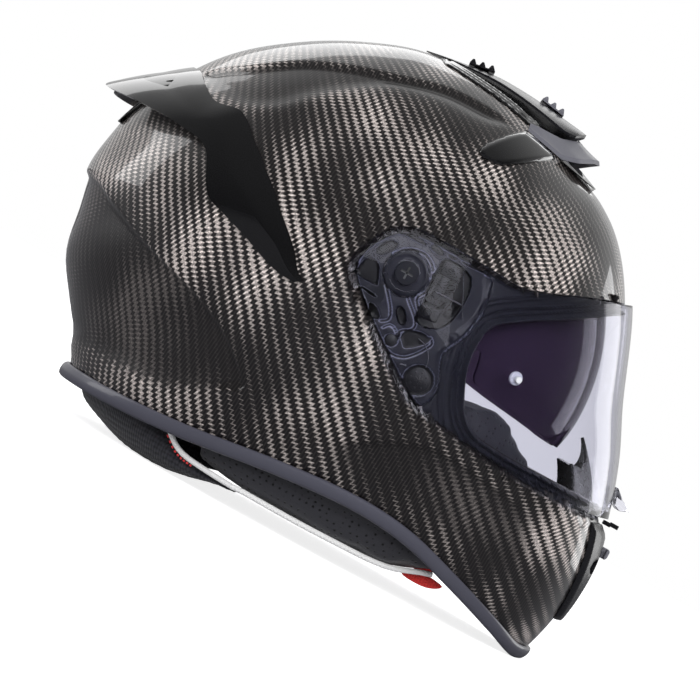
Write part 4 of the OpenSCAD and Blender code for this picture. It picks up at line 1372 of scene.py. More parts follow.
@dataclass
class PivotGear:
    """Base plates of the face shield with their levers, springs and screws."""

    face: float = -1.6
    wall_mm: float = 2.2
    outline: tuple = (
        (-14.2, 131), (-4.3, 121), (11.4, 109), (28, 97), (42, 88.4), (47, 88.4), (50.2, 98.3), (43.9, 112.8),
        (43.5, 117), (47.5, 124.4), (51, 134), (50.8, 144), (49, 153.3), (46.5, 160), (15.5, 160.6), (4, 159.8),
        (-5, 155.5), (-10, 148.5), (-14, 140)
    )
    marks: tuple = (
        Mark(((-11.8, 139.6), (-4.6, 140.3), (0.1, 130.1), (0, 128.4), (-11.4, 128.5), (-12.9, 131.1)), -1.4),
        Mark(((-10.7, 142.6), (-6.1, 151.9), (1, 152.2), (-4.5, 141.8)), -1.4),
        Mark(((-3.7, 156.4), (0.2, 159), (11.5, 159), (11.6, 156)), -1.0),
        Mark(((12.6, 160), (20.3, 159.6), (21.1, 155.5), (12.6, 156.2)), -1.0),
        Mark(((21.8, 159.4), (27.6, 159.6), (27.8, 157.4), (21.9, 157.1)), -1.0),
        Mark(((29, 159.6), (44.5, 159.8), (43.3, 158.6), (28.9, 157.4)), -0.9),
        Mark(((-10.6, 124.8), (-9.1, 125.9), (2.2, 125.2), (2, 122.8)), -1.2),
        Mark(((-1.7, 120.6), (4.6, 120.8), (9.3, 115.8), (5.3, 113.4)), -1.3),
        Mark(((11.8, 123.8), (15.3, 127.2), (21.5, 120), (18.1, 116.6)), -2.0, 0.3),
        Mark(((19.8, 114.8), (25.5, 119.8), (33.3, 120.3), (35.4, 116.7), (25.8, 108.1), (23.5, 109.6)), -0.7),
        Mark(((20.5, 149), (21, 157), (33.5, 157.2), (40, 152), (41, 138), (38, 126), (30, 121.6), (23.5, 122.4),
              (21.5, 128), (22.8, 133), (21, 138.5)), -2.0, 0.5),
        Mark(((22.9, 137.8), (32.4, 138.1), (32.1, 133.1), (22, 132.7)), 1.1, 0.3),
        Mark(((32.9, 138.9), (38.9, 139.1), (38.2, 132.1), (34.2, 130.5)), 0.8, 0.3),
        Mark(((24, 145.7), (32.5, 146.8), (32.6, 142.2), (25.6, 141.7)), 1.0, 0.3),
        Mark(((43.5, 158.8), (42.7, 155.3), (45.2, 152.5), (47.8, 145.4), (47.2, 136.6), (43.7, 129.8),
              (43.3, 127.1), (42.8, 121.4), (40.6, 117.6), (42.8, 113), (50, 98.4), (47, 90), (52, 98), (45, 112),
              (45, 116), (49, 124), (53, 134), (52.5, 145), (49, 160)), 0.5, 0.6),
    )
    grooves: tuple = (
        Groove(((3.4, 131.3), (12.1, 119.1), (12, 117.1), (9.3, 115.1)), -0.7),
        Groove(((13.8, 132.2), (16, 130.3), (24.8, 120.6), (23.9, 118.4), (19.6, 115), (20.8, 112.3)), -0.7),
        Groove(((18.3, 104.3), (22.2, 103.7), (27.4, 105.2), (31.4, 109.1), (34.1, 113), (36, 117.3),
                (33.9, 119.5)), -0.7),
        Groove(((11.7, 112.8), (13.9, 115.5), (17.2, 114.9), (20.4, 110.9)), -0.5),
        Groove(((-0.6, 146.4), (3.6, 150.8), (10.8, 153.3), (17, 151.2), (20.4, 146.7), (22, 141.5), (21.8, 138.1),
                (19.3, 132.8), (20.2, 131.1), (22.8, 128.3)), -0.8),
        Groove(((-6.4, 154.2), (-10.8, 148.6), (-14.2, 140), (-14.6, 132.8)), -0.5, 0.35),
        Groove(((45.4, 160.2), (47.6, 154), (48.9, 145.6), (48.1, 136.2), (46.4, 127.8), (42.8, 120.2),
                (41.4, 115.8), (43.4, 109.8), (48.6, 98.4), (47.6, 94), (46.2, 89.4)), 0.6, 0.5),
        Groove(((46.6, 160.2), (48.8, 154), (50, 145.6), (49.2, 136.2), (47.6, 127.8), (44.1, 120.2), (42.7, 115.8),
                (44.6, 109.8), (49.7, 98.4), (48.6, 94)), -0.9, 0.4),
    )
    seats: tuple = ((17.9, 109.3, 3.4, -0.6), (38.7, 98.9, 7.6, -0.9), (43.9, 125, 2.2, 0.7))
    hub_hole: float = 11.7
    lever_at: tuple = (27.0, 130.0)
    wires: tuple = (
        (((25.4, 139.8), (32, 140.2), (39.1, 140.3)), 0.5, -1.0),
        (((32.2, 155.6), (37.8, 145), (43, 134.3)), 0.22, -0.4),
        (((29.2, 116.4), (33.6, 115.1), (36.5, 112.5), (38.3, 109.2), (38.9, 105.9)), 0.25, -0.6),
        (((27.1, 101.5), (30.2, 102.3)), 0.5, -1.0)
    )
    large_screw: tuple = (38.7, 98.9)
    small_screw: tuple = (17.9, 109.3)

    def plate(self) -> None:
        """Both base plates, cut and marked."""
        hide = Flank((-18, 54), (85, 163), 0.75)
        edge = straight(self.outline)
        hide.keep(edge.within)
        hide.bore(*FaceShield().hinge, self.hub_hole)
        marks = [(straight(mark.outline), mark) for mark in self.marks]
        for line, _ in marks:
            hide.settle(line.within, 0.4)
        grooves = [(Line(groove.path), groove) for groove in self.grooves]

        def lift(spots: Spots) -> Row:
            """Measure the plate's face against the plain skin.

            Args:
                spots: Points of the plain skin.

            Returns:
                Offset outwards at each point.
            """
            off = np.full(len(spots), self.face)
            for line, mark in marks:
                off += mark.rise * ease(0, mark.slope, line.within(spots))
            for line, groove in grooves:
                off += groove.rise * np.exp(-(line.nearest(spots[:, 0], spots[:, 2])[0] / groove.width) ** 2)
            for x, z, radius, rise in self.seats:
                off += rise * ease(0, 0.4, radius - np.hypot(spots[:, 0] - x, spots[:, 2] - z))
            return off - 1.2 * ease(0.8, 0, edge.within(spots))

        for piece in place_pair(hide.raise_to(lift), "base_plate", Look.NYLON, "pivot_plate", "mechanism_plastic",
                                60):
            thicken(piece, self.wall_mm, edge=0)

    def lever(self, side: int, hand: str) -> None:
        """Make a release lever with its two blocks.

        Args:
            side: -1 on the right and 1 on the left.
            hand: Name of the side.
        """
        y = float(SKIN.side_y(*self.lever_at, -4.5)) + 0.3
        parts = [
            prism(rounded([(24.6, 127), (24.4, 152), (29.4, 152), (29.2, 127)], 1), y, y + 1.2, 0.25, side),
            prism([(23, 148.6), (22.5, 155.1), (32.1, 155.9), (32.7, 148.7)], y, y + 2.0, 0.5, side),
            prism([(21.8, 132.2), (32.4, 132.7), (32.8, 126.8), (23.8, 125.6)], y, y + 2.0, 0.5, side),
            disc((26.9, side * (y + 1.8), 152.1), 2.3, 0.7, (0, side, 0), 32, 0.3, 0.8),
            disc((26.7, side * (y + 1.8), 129.4), 2.3, 0.7, (0, side, 0), 32, 0.3, 1.7),
        ]
        place(join(parts), f"lever_{hand}", Look.BLACK_ABS, f"release_lever_{hand}", "mechanism_plastic",
              f"lever_{hand}")

    def springs(self) -> None:
        """Spring wires on both sides."""
        parts = [side_tube(Line(path, step=1.0).dots, side, off, radius)
                 for side in (-1, 1) for path, radius, off in self.wires]
        place(join(parts), "spring_wires", Look.STEEL, "lever_springs", "steel")

    def screws(self) -> None:
        """Plate screws: a large one with a star and a ring of dots, and a small one."""
        parts = []
        for side in (-1, 1):
            face = (0, side, 0)
            x, z = self.large_screw
            y = side * (float(SKIN.side_y(x, z, -3.2)) + 0.4)
            parts.append(disc((x, y, z), 6.0, 1.3, face, 48, 0.4))
            for turn in np.radians(range(0, 360, 45)):
                dot = (x + 4 * math.cos(turn), y + side * 1.2, z + 4 * math.sin(turn))
                parts.append(disc(dot, 0.5, 0.5, face, 12, 0.15))
            for turn in (20, 80, 140):
                bar = Matrix.Rotation(math.radians(turn), 4, "Y")
                top = y + side * 1.4
                parts.append(block((x - 2.2, top - 0.2, z - 0.3), (x + 2.2, top + 0.2, z + 0.3), 0.15, bar))
            x, z = self.small_screw
            y = side * (float(SKIN.side_y(x, z, -3.2)) + 0.2)
            parts.append(disc((x, y, z), 2.9, 1.4, face, 36, 0.4))
        place(join(parts), "base_plate_screws", Look.BLACK_ABS, "plate_screws", "mechanism_plastic")

    def build(self) -> None:
        """Make every piece of the gear."""
        self.plate()
        for side, hand in ((-1, "right"), (1, "left")):
            self.lever(side, hand)
        self.springs()
        self.screws()
        dress("lever_pins", Look.STEEL, "steel")


def dress(node: str, look: Look, slot: str = "", edge: float = 0.25, body: str = "helmet") -> None:
    """Round the edges of a small frame node on a merged copy and give it its finish.

    Args:
        node: Name of the node.
        look: Finish of the piece.
        slot: Material slot of the record.
        edge: Radius of its edges in millimetres.
        body: Body that it rides on.
    """
    source = FRAME["nodes"][node]
    bm = bmesh.new()
    bm.from_mesh(source.data)
    bmesh.ops.transform(bm, matrix=source.matrix_world, verts=bm.verts)
    bmesh.ops.scale(bm, verts=bm.verts, vec=(1 / MM, 1 / MM, 1 / MM))
    bmesh.ops.remove_doubles(bm, verts=bm.verts, dist=0.002)
    bmesh.ops.dissolve_limit(bm, angle_limit=math.radians(1.5), verts=bm.verts, edges=bm.edges)
    sharp = [e for e in bm.edges if len(e.link_faces) == 2 and e.calc_face_angle(0.0) > math.radians(35)]
    if edge and sharp:
        bmesh.ops.bevel(bm, geom=sharp, offset=edge, segments=2, profile=0.5, affect="EDGES", material=-1,
                        clamp_overlap=True)
    bmesh.ops.triangulate(bm, faces=[f for f in bm.faces if len(f.verts) > 4])
    place(bm, f"{node}_dressed", look, node, slot, body)


FRAME: dict = {}
SUN = Skin(12.0, 122.0, 112.0, ((-60, 110), (0, 110), (120, 110), (278, 110)))


def within(points: Table, axes: tuple[int, int] = (0, 2), fold: bool = False) -> Field:
    """Make a field of an outline seen along one axis.

    Args:
        points: The outline.
        axes: The two axes that it is drawn on.
        fold: Whether it is mirrored about the first of them.

    Returns:
        The field, a signed distance that is positive inside.
    """
    line = straight(points, times=1)

    def measure(spots: Spots) -> Row:
        """Signed distance, positive inside."""
        p, q = spots[:, axes[0]], spots[:, axes[1]]
        if fold:
            p = np.abs(p)
        return line.within(np.stack([p, p, q], axis=1))

    return measure


@dataclass
class SunShield:
    """Dark inner shield on its pins, with its slider and its cable."""

    wall_mm: float = 2.0
    outline: tuple = (
        (62.5, 111), (70, 109.5), (103, 105), (112, 103), (125, 102.5), (125, 180), (106, 178), (82, 165),
        (62, 150), (40, 135), (16, 130.5), (8, 130), (3, 125), (3, 118), (8, 113.5), (16, 113.5), (46, 121),
        (59, 127), (61.5, 119)
    )
    nose: tuple = ((-1, 90), (24, 90), (24, 99), (16, 111), (9, 121), (-1, 124))
    pin_hole: float = 6.5

    def build(self) -> None:
        """Make the shield and dress its small pieces."""
        hide = Hide((-60, 100), (-90, 90), 2.6, SUN)
        hide.keep(within(self.outline))
        hide.trim(within(self.nose, (1, 2), True))
        hide.bore(SUN.ear_x, SUN.ear_z, self.pin_hole)
        piece = place(hide.raise_to(-1.0), "sun_shield", Look.SMOKE, "sun_visor", "smoke_shield", "sun_shield")
        thicken(piece, self.wall_mm, 0.0, 0.3)
        dress("sun_visor_bushes", Look.BLACK_ABS, "mechanism_plastic", body="sun_shield")
        dress("sun_visor_pins", Look.STEEL, "steel")
        dress("sun_slider_base", Look.BLACK_ABS, "black_plastic", 0.4)
        dress("sun_slider_knob", Look.BLACK_ABS, "black_plastic", 0.35, "sun_slider")
        dots = np.array([(22 - 8 * (z - 42) / 56, z) for z in range(42, 99, 4)], float)
        cable = side_tube(dots, 1, -6 - np.maximum(0, dots[:, 1] - 74) * 0.12, 0.9, 12)
        place(cable, "sun_shield_cable", Look.BLACK_ABS, "sun_visor_cable", "black_plastic")


CHEEK_LOW = ((-80, 36), (-58, 22), (-48, 14.5), (-38, 12.2), (0, 11), (40, 11), (70, 12.5), (90, 19), (120, 24))
CHEEK_HIGH = (
    (-80, 84), (-40, 92), (20, 97), (50, 99), (66, 101), (76, 103), (84, 99), (96, 93), (108, 86), (120, 76)
)
ROLL_LOW = ((-130, 13), (-100, 8), (-80, 2.5), (-70, 0.4), (-50, 0.4), (-38, 2.5), (-20, 6), (20, 6))
ROLL_TOP = ((-130, 22), (-75, 24), (-62, 21), (-52, 17), (-42, 13.4), (-20, 11), (20, 9))
LEVEL = ((-200, 0), (0, 0), (200, 0))


@dataclass
class Liner:
    """Foam of the crown and the chin bar."""

    inner: float = 30.0
    wall_mm: float = 14.0
    cut: tuple = ((-220, -130), (-220, 34), (-120, 44), (-90, 66), (-52, 93), (-22, 102), (44, 102), (50, 142),
                  (75, 163), (100, 181), (112, 186), (260, 186), (260, -130))
    sector: tuple = ((-26, 90), (-26, 162), (2, 172), (18, 190), (33, 236), (240, 236), (240, 90))
    dome_middle: tuple = (12.0, 0.0, 122.0)
    dome_reach: tuple = (103.5, 105.5, 103.5)
    thin_step: float = 0.05
    chin_to: float = 36.0
    chin: tuple = (
        (12, -6.7), (20, -5.7), (38, -5.7), (60, -9.5), (61, -14), (60, -22), (40, -25.6), (12, -26), (11, -16)
    )

    def past_dome(self, spots: Spots) -> Row:
        """Distance, positive where foam would be in the way of the sun shield."""
        away = np.linalg.norm((spots - self.dome_middle) / self.dome_reach, axis=1) - 1
        return np.minimum(away * self.dome_reach[0], within(self.sector)(spots))

    def inner_face(self, spots: Spots) -> Spots:
        """Points of the skin drawn in towards the dome, near enough to the foam's inner face."""
        way = spots - self.dome_middle
        return spots - way / np.linalg.norm(way, axis=1)[:, None] * (self.inner - 2)

    def thin(self, foam: Piece) -> None:
        """Thin the wall of the foam where the sun shield goes up over it.

        Args:
            foam: The foam, whose wall lies outwards of its mesh.
        """
        spots = np.array([v.co[:] for v in foam.data.vertices]) / MM
        outwards = np.array([v.normal[:] for v in foam.data.vertices])
        share = np.ones(len(spots))
        for step in np.arange(1.0, 0.1, -self.thin_step):
            share[self.past_dome(spots + outwards * self.wall_mm * step) > 0] = step - self.thin_step
        group = foam.vertex_groups.new(name="wall")
        for k, value in enumerate(share):
            group.add([k], float(value), "REPLACE")
        foam.modifiers["wall"].vertex_group = group.name

    def chin_spot(self, u: Row, v: Row) -> Spots:
        """Points of the chin foam at places u along it and v round it."""
        phi = self.chin_to * (2 * u - 1)
        row = round_about(self.chin, v)
        fall = np.where(row[:, 0] > 50, np.abs(phi) * 0.35, 0)
        return SKIN.wall(phi, RIM, row[:, 0] - fall, row[:, 1])

    def build(self) -> None:
        """Make both foams."""
        hide = Hide(cell=5.0)
        hide.trim(within(self.cut))
        hide.trim(lambda s: self.past_dome(self.inner_face(s)))
        foam = place(hide.raise_to(-self.inner), "crown_foam", Look.FOAM, "impact_liner", "foam")
        thicken(foam, self.wall_mm, 1.0, 0.8)
        self.thin(foam)
        place(sheet(60, 60, self.chin_spot), "chin_foam", Look.FOAM, "chin_liner", "foam")


@dataclass(frozen=True)
class Swell:
    """How a pad is blown up: voxel, pressure, frames and the furthest that a point may move."""

    voxel_mm: float = 5.0
    pressure: float = 4.0
    frames: int = 20
    cap_mm: float = 5.0


def plump(bm: Mesh, swell: Swell) -> Mesh:
    """Blow up a closed pad with cloth, so that its skin is taut between its edges.

    Args:
        bm: The pad in millimetres, slightly smaller than it ends.
        swell: How it is blown up.

    Returns:
        The swollen mesh in millimetres.
    """
    bmesh.ops.scale(bm, verts=bm.verts, vec=(MM, MM, MM))
    pad = hang(bm, "pad")
    remesh = pad.modifiers.new("voxels", "REMESH")
    remesh.mode, remesh.voxel_size = "VOXEL", swell.voxel_mm * MM
    even = bpy.data.meshes.new_from_object(pad.evaluated_get(bpy.context.evaluated_depsgraph_get()))
    pad.modifiers.clear()
    pad.data = even
    start = ends = np.array([v.co[:] for v in even.vertices])
    cloth = pad.modifiers.new("cloth", "CLOTH")
    cloth.settings.use_pressure = True
    cloth.settings.uniform_pressure_force = swell.pressure
    cloth.settings.effector_weights.gravity = 0
    cloth.collision_settings.use_collision = False
    for frame in range(1, swell.frames + 1):
        bpy.context.scene.frame_set(frame)
    blown = pad.evaluated_get(bpy.context.evaluated_depsgraph_get()).to_mesh()
    move = np.array([v.co[:] for v in blown.vertices]) - start
    length = np.maximum(np.linalg.norm(move, axis=1), 1e-9)[:, None]
    ends = start + move * np.minimum(1, swell.cap_mm * MM / length)
    bpy.context.scene.frame_set(1)
    out = bmesh.new()
    out.from_mesh(even)
    for v, end in zip(out.verts, ends):
        v.co = end
    bmesh.ops.smooth_vert(out, verts=out.verts, factor=0.5, use_axis_x=True, use_axis_y=True, use_axis_z=True)
    bmesh.ops.scale(out, verts=out.verts, vec=(1 / MM, 1 / MM, 1 / MM))
    bpy.data.objects.remove(pad)
    bmesh.ops.subdivide_edges(out, edges=out.edges, cuts=1, use_grid_fill=True, smooth=1.0)
    return out


def crease(bm: Mesh, depth: Callable[[Spots], Row]) -> None:
    """Sink sewn seams into a pad.

    Args:
        bm: The pad.
        depth: Gives how deep each point sinks.
    """
    bm.normal_update()
    spots = np.array([v.co[:] for v in bm.verts])
    for v, d in zip(bm.verts, depth(spots)):
        if d > 0:
            v.co -= v.normal * d


@dataclass
class Pads:
    """Crown pad, cheek pads and neck roll with their piping and tabs."""

    crown_from: float = 36.0
    crown_to: float = 172.0
    thick: float = 9.0
    cheek_from: float = 119.0
    cheek_to: float = 38.0
    cheek_mm: float = 50.0
    roll_to: float = 76.0
    roll_square: float = 0.72
    piping_mm: float = 1.4
    stitches: int = 9

    def crown(self) -> None:
        """Quilted crown pad."""
        span = self.crown_to - self.crown_from

        def spot(u: Row, v: Row) -> Spots:
            """Give the points of the pad: its foam side, then its head side.

            Args:
                u: Places along it from 0 to 1.
                v: Places across and back from 0 to 1.

            Returns:
                The points.
            """
            p, upper = 2 * u - 1, v < 0.5
            q = np.where(upper, 4 * v - 1, 3 - 4 * v)
            round_off = [np.sqrt(np.maximum(0, 1 - np.abs(0.98 * way) ** 5)) for way in (p, q)]
            off = np.where(upper, -31.2, -33.2 - self.thick * round_off[0] * round_off[1])
            wide = 46 - 25 * np.maximum(0, p) ** 1.3
            return SKIN.point(self.crown_from + span * u, wide * q, off)

        bm = plump(sheet(40, 48, spot), Swell(cap_mm=3.0))

        def seams(spots: Spots) -> Row:
            """Channels across the pad."""
            a = np.degrees(np.arctan2(spots[:, 2] - SKIN.ear_z, spots[:, 0] - SKIN.ear_x))
            gap = np.abs(((a - self.crown_from) / span * 5) % 1 - 0.5)
            side = np.abs(np.abs(spots[:, 1]) - 34)
            return 2.2 * np.exp(-((0.5 - gap) * 26 / 1.6) ** 2) + 1.8 * np.exp(-(side / 1.6) ** 2)

        crease(bm, seams)
        piece = place(bm, "crown_pad_quilt", Look.KNIT, "crown_pad", "pad_fabric", sharp=180)

    def cheek_spot(self, u: Row, v: Row) -> Spots:
        """Give the points of the right cheek pad.

        Args:
            u: Places along it from 0 to 1.
            v: Places round it from 0 to 1.

        Returns:
            The points.
        """
        phi = self.cheek_from + (self.cheek_to - self.cheek_from) * u
        full = np.sqrt(np.maximum(0, 1 - np.abs((2 * u - 1) * 0.97) ** 4))
        deep = self.cheek_mm * (0.5 + 0.5 * full) - 6
        low = SKIN.wall(phi, CHEEK_LOW, 0, -10.0)
        top = hermite(CHEEK_HIGH, low[:, 0]) - low[:, 2]
        drop = 5 * (1 - full)
        # Height as shares of the top, the drop and one millimetre, then depth as shares of one and the deep
        rows = ((0, 1, 3, -9, 0), (0.5, 0, 0, -8.5, 0), (1, -1, -5, -9, 0), (1, -1, 0, -13, 0),
                (1, -1, -1, -9, 0.6), (0.84, 0, 0, -9, 0.9), (0.62, 0, 0, -9, 1), (0.36, 0, 0, -9, 1),
                (0.14, 0, 0, -9, 0.92), (0, 1, 2, -9, 0.72), (0, 1, 0, -9, 0.42), (0, 1, 0.5, -13, 0))
        h = np.stack([a * top + b * drop + c for a, b, c, _, _ in rows], axis=1)
        off = np.stack([d - e * deep for _, _, _, d, e in rows], axis=1)
        n = len(rows)
        i = np.floor(v * n).astype(int) % n
        s = v * n - np.floor(v * n)
        row = np.arange(len(phi))

        def blend(table: Row) -> Row:
            """Table read round the section."""
            a, b, c, d = (table[row, (i + k) % n] for k in (-1, 0, 1, 2))
            return b + 0.5 * s * (c - a + s * (2 * a - 5 * b + 4 * c - d + s * (3 * (b - c) + d - a)))

        return SKIN.wall(phi, CHEEK_LOW, blend(h), blend(off)) * [1, -1, 1]

    def cheeks(self) -> None:
        """Both cheek pads."""
        right = plump(sheet(48, 72, self.cheek_spot), Swell(cap_mm=2.0))

        def seam(spots: Spots) -> Row:
            """Seam round the inner face."""
            rise = spots[:, 2] - hermite(CHEEK_LOW, spots[:, 0])
            return 1.4 * np.exp(-((rise - 13) / 1.5) ** 2) + 1.2 * np.exp(-((rise - 58) / 1.5) ** 2)

        crease(right, seam)
        for piece in place_pair(right, "cheek_pad_cover", Look.LEATHERETTE, "cheek_pad", "pad_leatherette", 180):
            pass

    def roll_spot(self, u: Row, v: Row) -> Spots:
        """Give the points of the neck roll.

        Args:
            u: Places along it from 0 to 1.
            v: Places round it from 0 to 1.

        Returns:
            The points.
        """
        e = 2 * u - 1
        phi = 180 - self.roll_to * e
        full = np.sqrt(np.maximum(0, 1 - (np.abs(e) * 0.98) ** 6))
        low = SKIN.wall(phi, ROLL_LOW, 0, -14.0)
        top = hermite(ROLL_TOP, low[:, 0]) - low[:, 2]
        rise = np.minimum(4 * (1 - full), top * 0.3)
        turn = 2 * np.pi * v
        up, out = (np.sign(way) * np.abs(way) ** self.roll_square for way in (np.sin(turn), np.cos(turn)))
        wide = 8 * (0.45 + 0.55 * full) * 0.95
        return SKIN.wall(phi, ROLL_LOW, rise + (top - 2 * rise) * (0.5 - 0.5 * up), -15.5 + wide * out)

    def roll(self) -> None:
        """Neck roll."""
        bm = plump(sheet(96, 32, self.roll_spot), Swell(voxel_mm=4.0, cap_mm=0.8))
        for v in bm.verts:
            v.co.z = max(v.co.z, 0.05)
        piece = place(bm, "neck_roll_cover", Look.KNIT, "neck_roll", "pad_fabric", sharp=180)

    def piping(self) -> None:
        """White piping along the lower edge of the cheek pads, with its red stitches."""
        phi = np.concatenate([np.arange(127, 103, -1.5), np.arange(101, 43, -3.0)])
        h = np.where(phi > 103, -0.6 - (127 - phi) / 40, -0.7)
        off = np.where(phi > 103, -7.4, -8 - (98 - phi) / 9)
        cords, stitches = [], []
        for side in (-1, 1):
            path = SKIN.wall(phi, CHEEK_LOW, h, off) * [1, side, 1]
            cords.append(tube(path, self.piping_mm, 14))
            for k in range(self.stitches):
                spot = np.array([126.6 - 1.1 * k, 126.1 - 1.1 * k])
                ends = SKIN.wall(spot, CHEEK_LOW, -3.0, -6.8) * [1, side, 1]
                stitches.append(tube(np.linspace(ends[0], ends[1], 4), 0.5, 8))
        place(join(cords), "white_piping", Look.PIPING, "piping", "white_piping")
        place(join(stitches), "red_stitches", Look.RED_TAPE, "", "red_tab")

    def tabs(self) -> None:
        """Red pull tabs: a tape folded on itself."""
        outer = rounded([(77, 11.2), (88.6, 10.6), (95.4, 12.2), (100.2, 15.7), (93, 17), (90, 16.7),
                         (79, 14.4)], 2)
        inner = rounded([(79, 11.8), (88, 11.4), (94.6, 12.8), (98.2, 15.2), (92.6, 16.4), (89, 16), (80, 14)], 2)
        parts = []
        for side in (-1, 1):
            parts += [prism(outer, 71.6, 72.5, 0.25, side), prism(inner, 70.2, 71.0, 0.25, side),
                      prism(rounded([(95.5, 12.8), (99.6, 15.6), (97.6, 15.9), (94.6, 14.6)], 1), 70.4, 72.2, 0.3,
                            side)]
        place(join(parts), "red_tabs", Look.RED_TAPE_FLAT, "pull_tabs", "red_tab")

    def chin(self) -> None:
        """Chin curtain and breath deflector."""
        def curtain(u: Row, v: Row) -> Spots:
            """Point of the curtain's upper face."""
            phi = -34 + 68 * u
            droop = 1.6 * np.sin(v * np.pi)
            return SKIN.wall(phi, RIM, 10.4 - droop, -6.7 - v * (17.3 + 10 * np.cos(np.radians(phi * 2.2))))

        piece = place(sheet(60, 14, curtain, False), "chin_curtain_cloth", Look.WEBBING, "chin_curtain",
                      "black_fabric")
        thicken(piece, 1.6, 0.0, 0.4)

        def cup(u: Row, v: Row) -> Spots:
            """Point of the deflector's middle face."""
            phi = -24 + 48 * u
            lip = 30 - 15 * np.minimum(1, np.abs(phi) / 15) ** 0.8
            return SKIN.wall(phi, LEVEL, 84 + lip * v, -9.4 - lip * 0.35 * v ** 1.6)

        piece = place(sheet(64, 20, cup, False), "breath_cup", Look.SATIN_BLACK, "breath_deflector",
                      "black_plastic")
        thicken(piece, 1.8, 0.0, 0.4)

    def build(self) -> None:
        """Make every soft piece."""
        self.crown()
        self.cheeks()
        self.roll()
        self.piping()
        self.tabs()
        self.chin()


@dataclass
class Strap:
    """Chin strap with its anchors and D-rings."""

    x: float = 0.0
    width: float = 22.0
    y: float = 52.0
    thick: float = 1.8

    def band(self, end: float, side: int) -> Mesh:
        """Make a flat strap from its anchor over the pad to its lower end.

        Args:
            end: Height of its lower end.
            side: -1 on the right and 1 on the left.

        Returns:
            The mesh.
        """
        y, t = self.y, self.thick
        path = [(88, 106), (88, 101), (y, 98), (y, end), (y - t, end), (y - t, 99.6), (88 - t, 102.6),
                (88 - t, 106)]
        return soften(extruded([(self.x, side * py, pz) for py, pz in path], (self.width, 0, 0)), 0.5, 3)

    def build(self) -> None:
        """Make the straps and dress the metal."""
        place(self.band(24.0, 1), "strap_long", Look.WEBBING, "chin_strap_long", "black_fabric")
        dress("chin_strap_short", Look.WEBBING, "black_fabric", 0.4)
        dress("d_ring_large", Look.STEEL, "steel", 0, "ring_large")
        dress("d_ring_small", Look.STEEL, "steel", 0, "ring_small")
        dress("strap_anchors", Look.STEEL, "steel", 0.3)


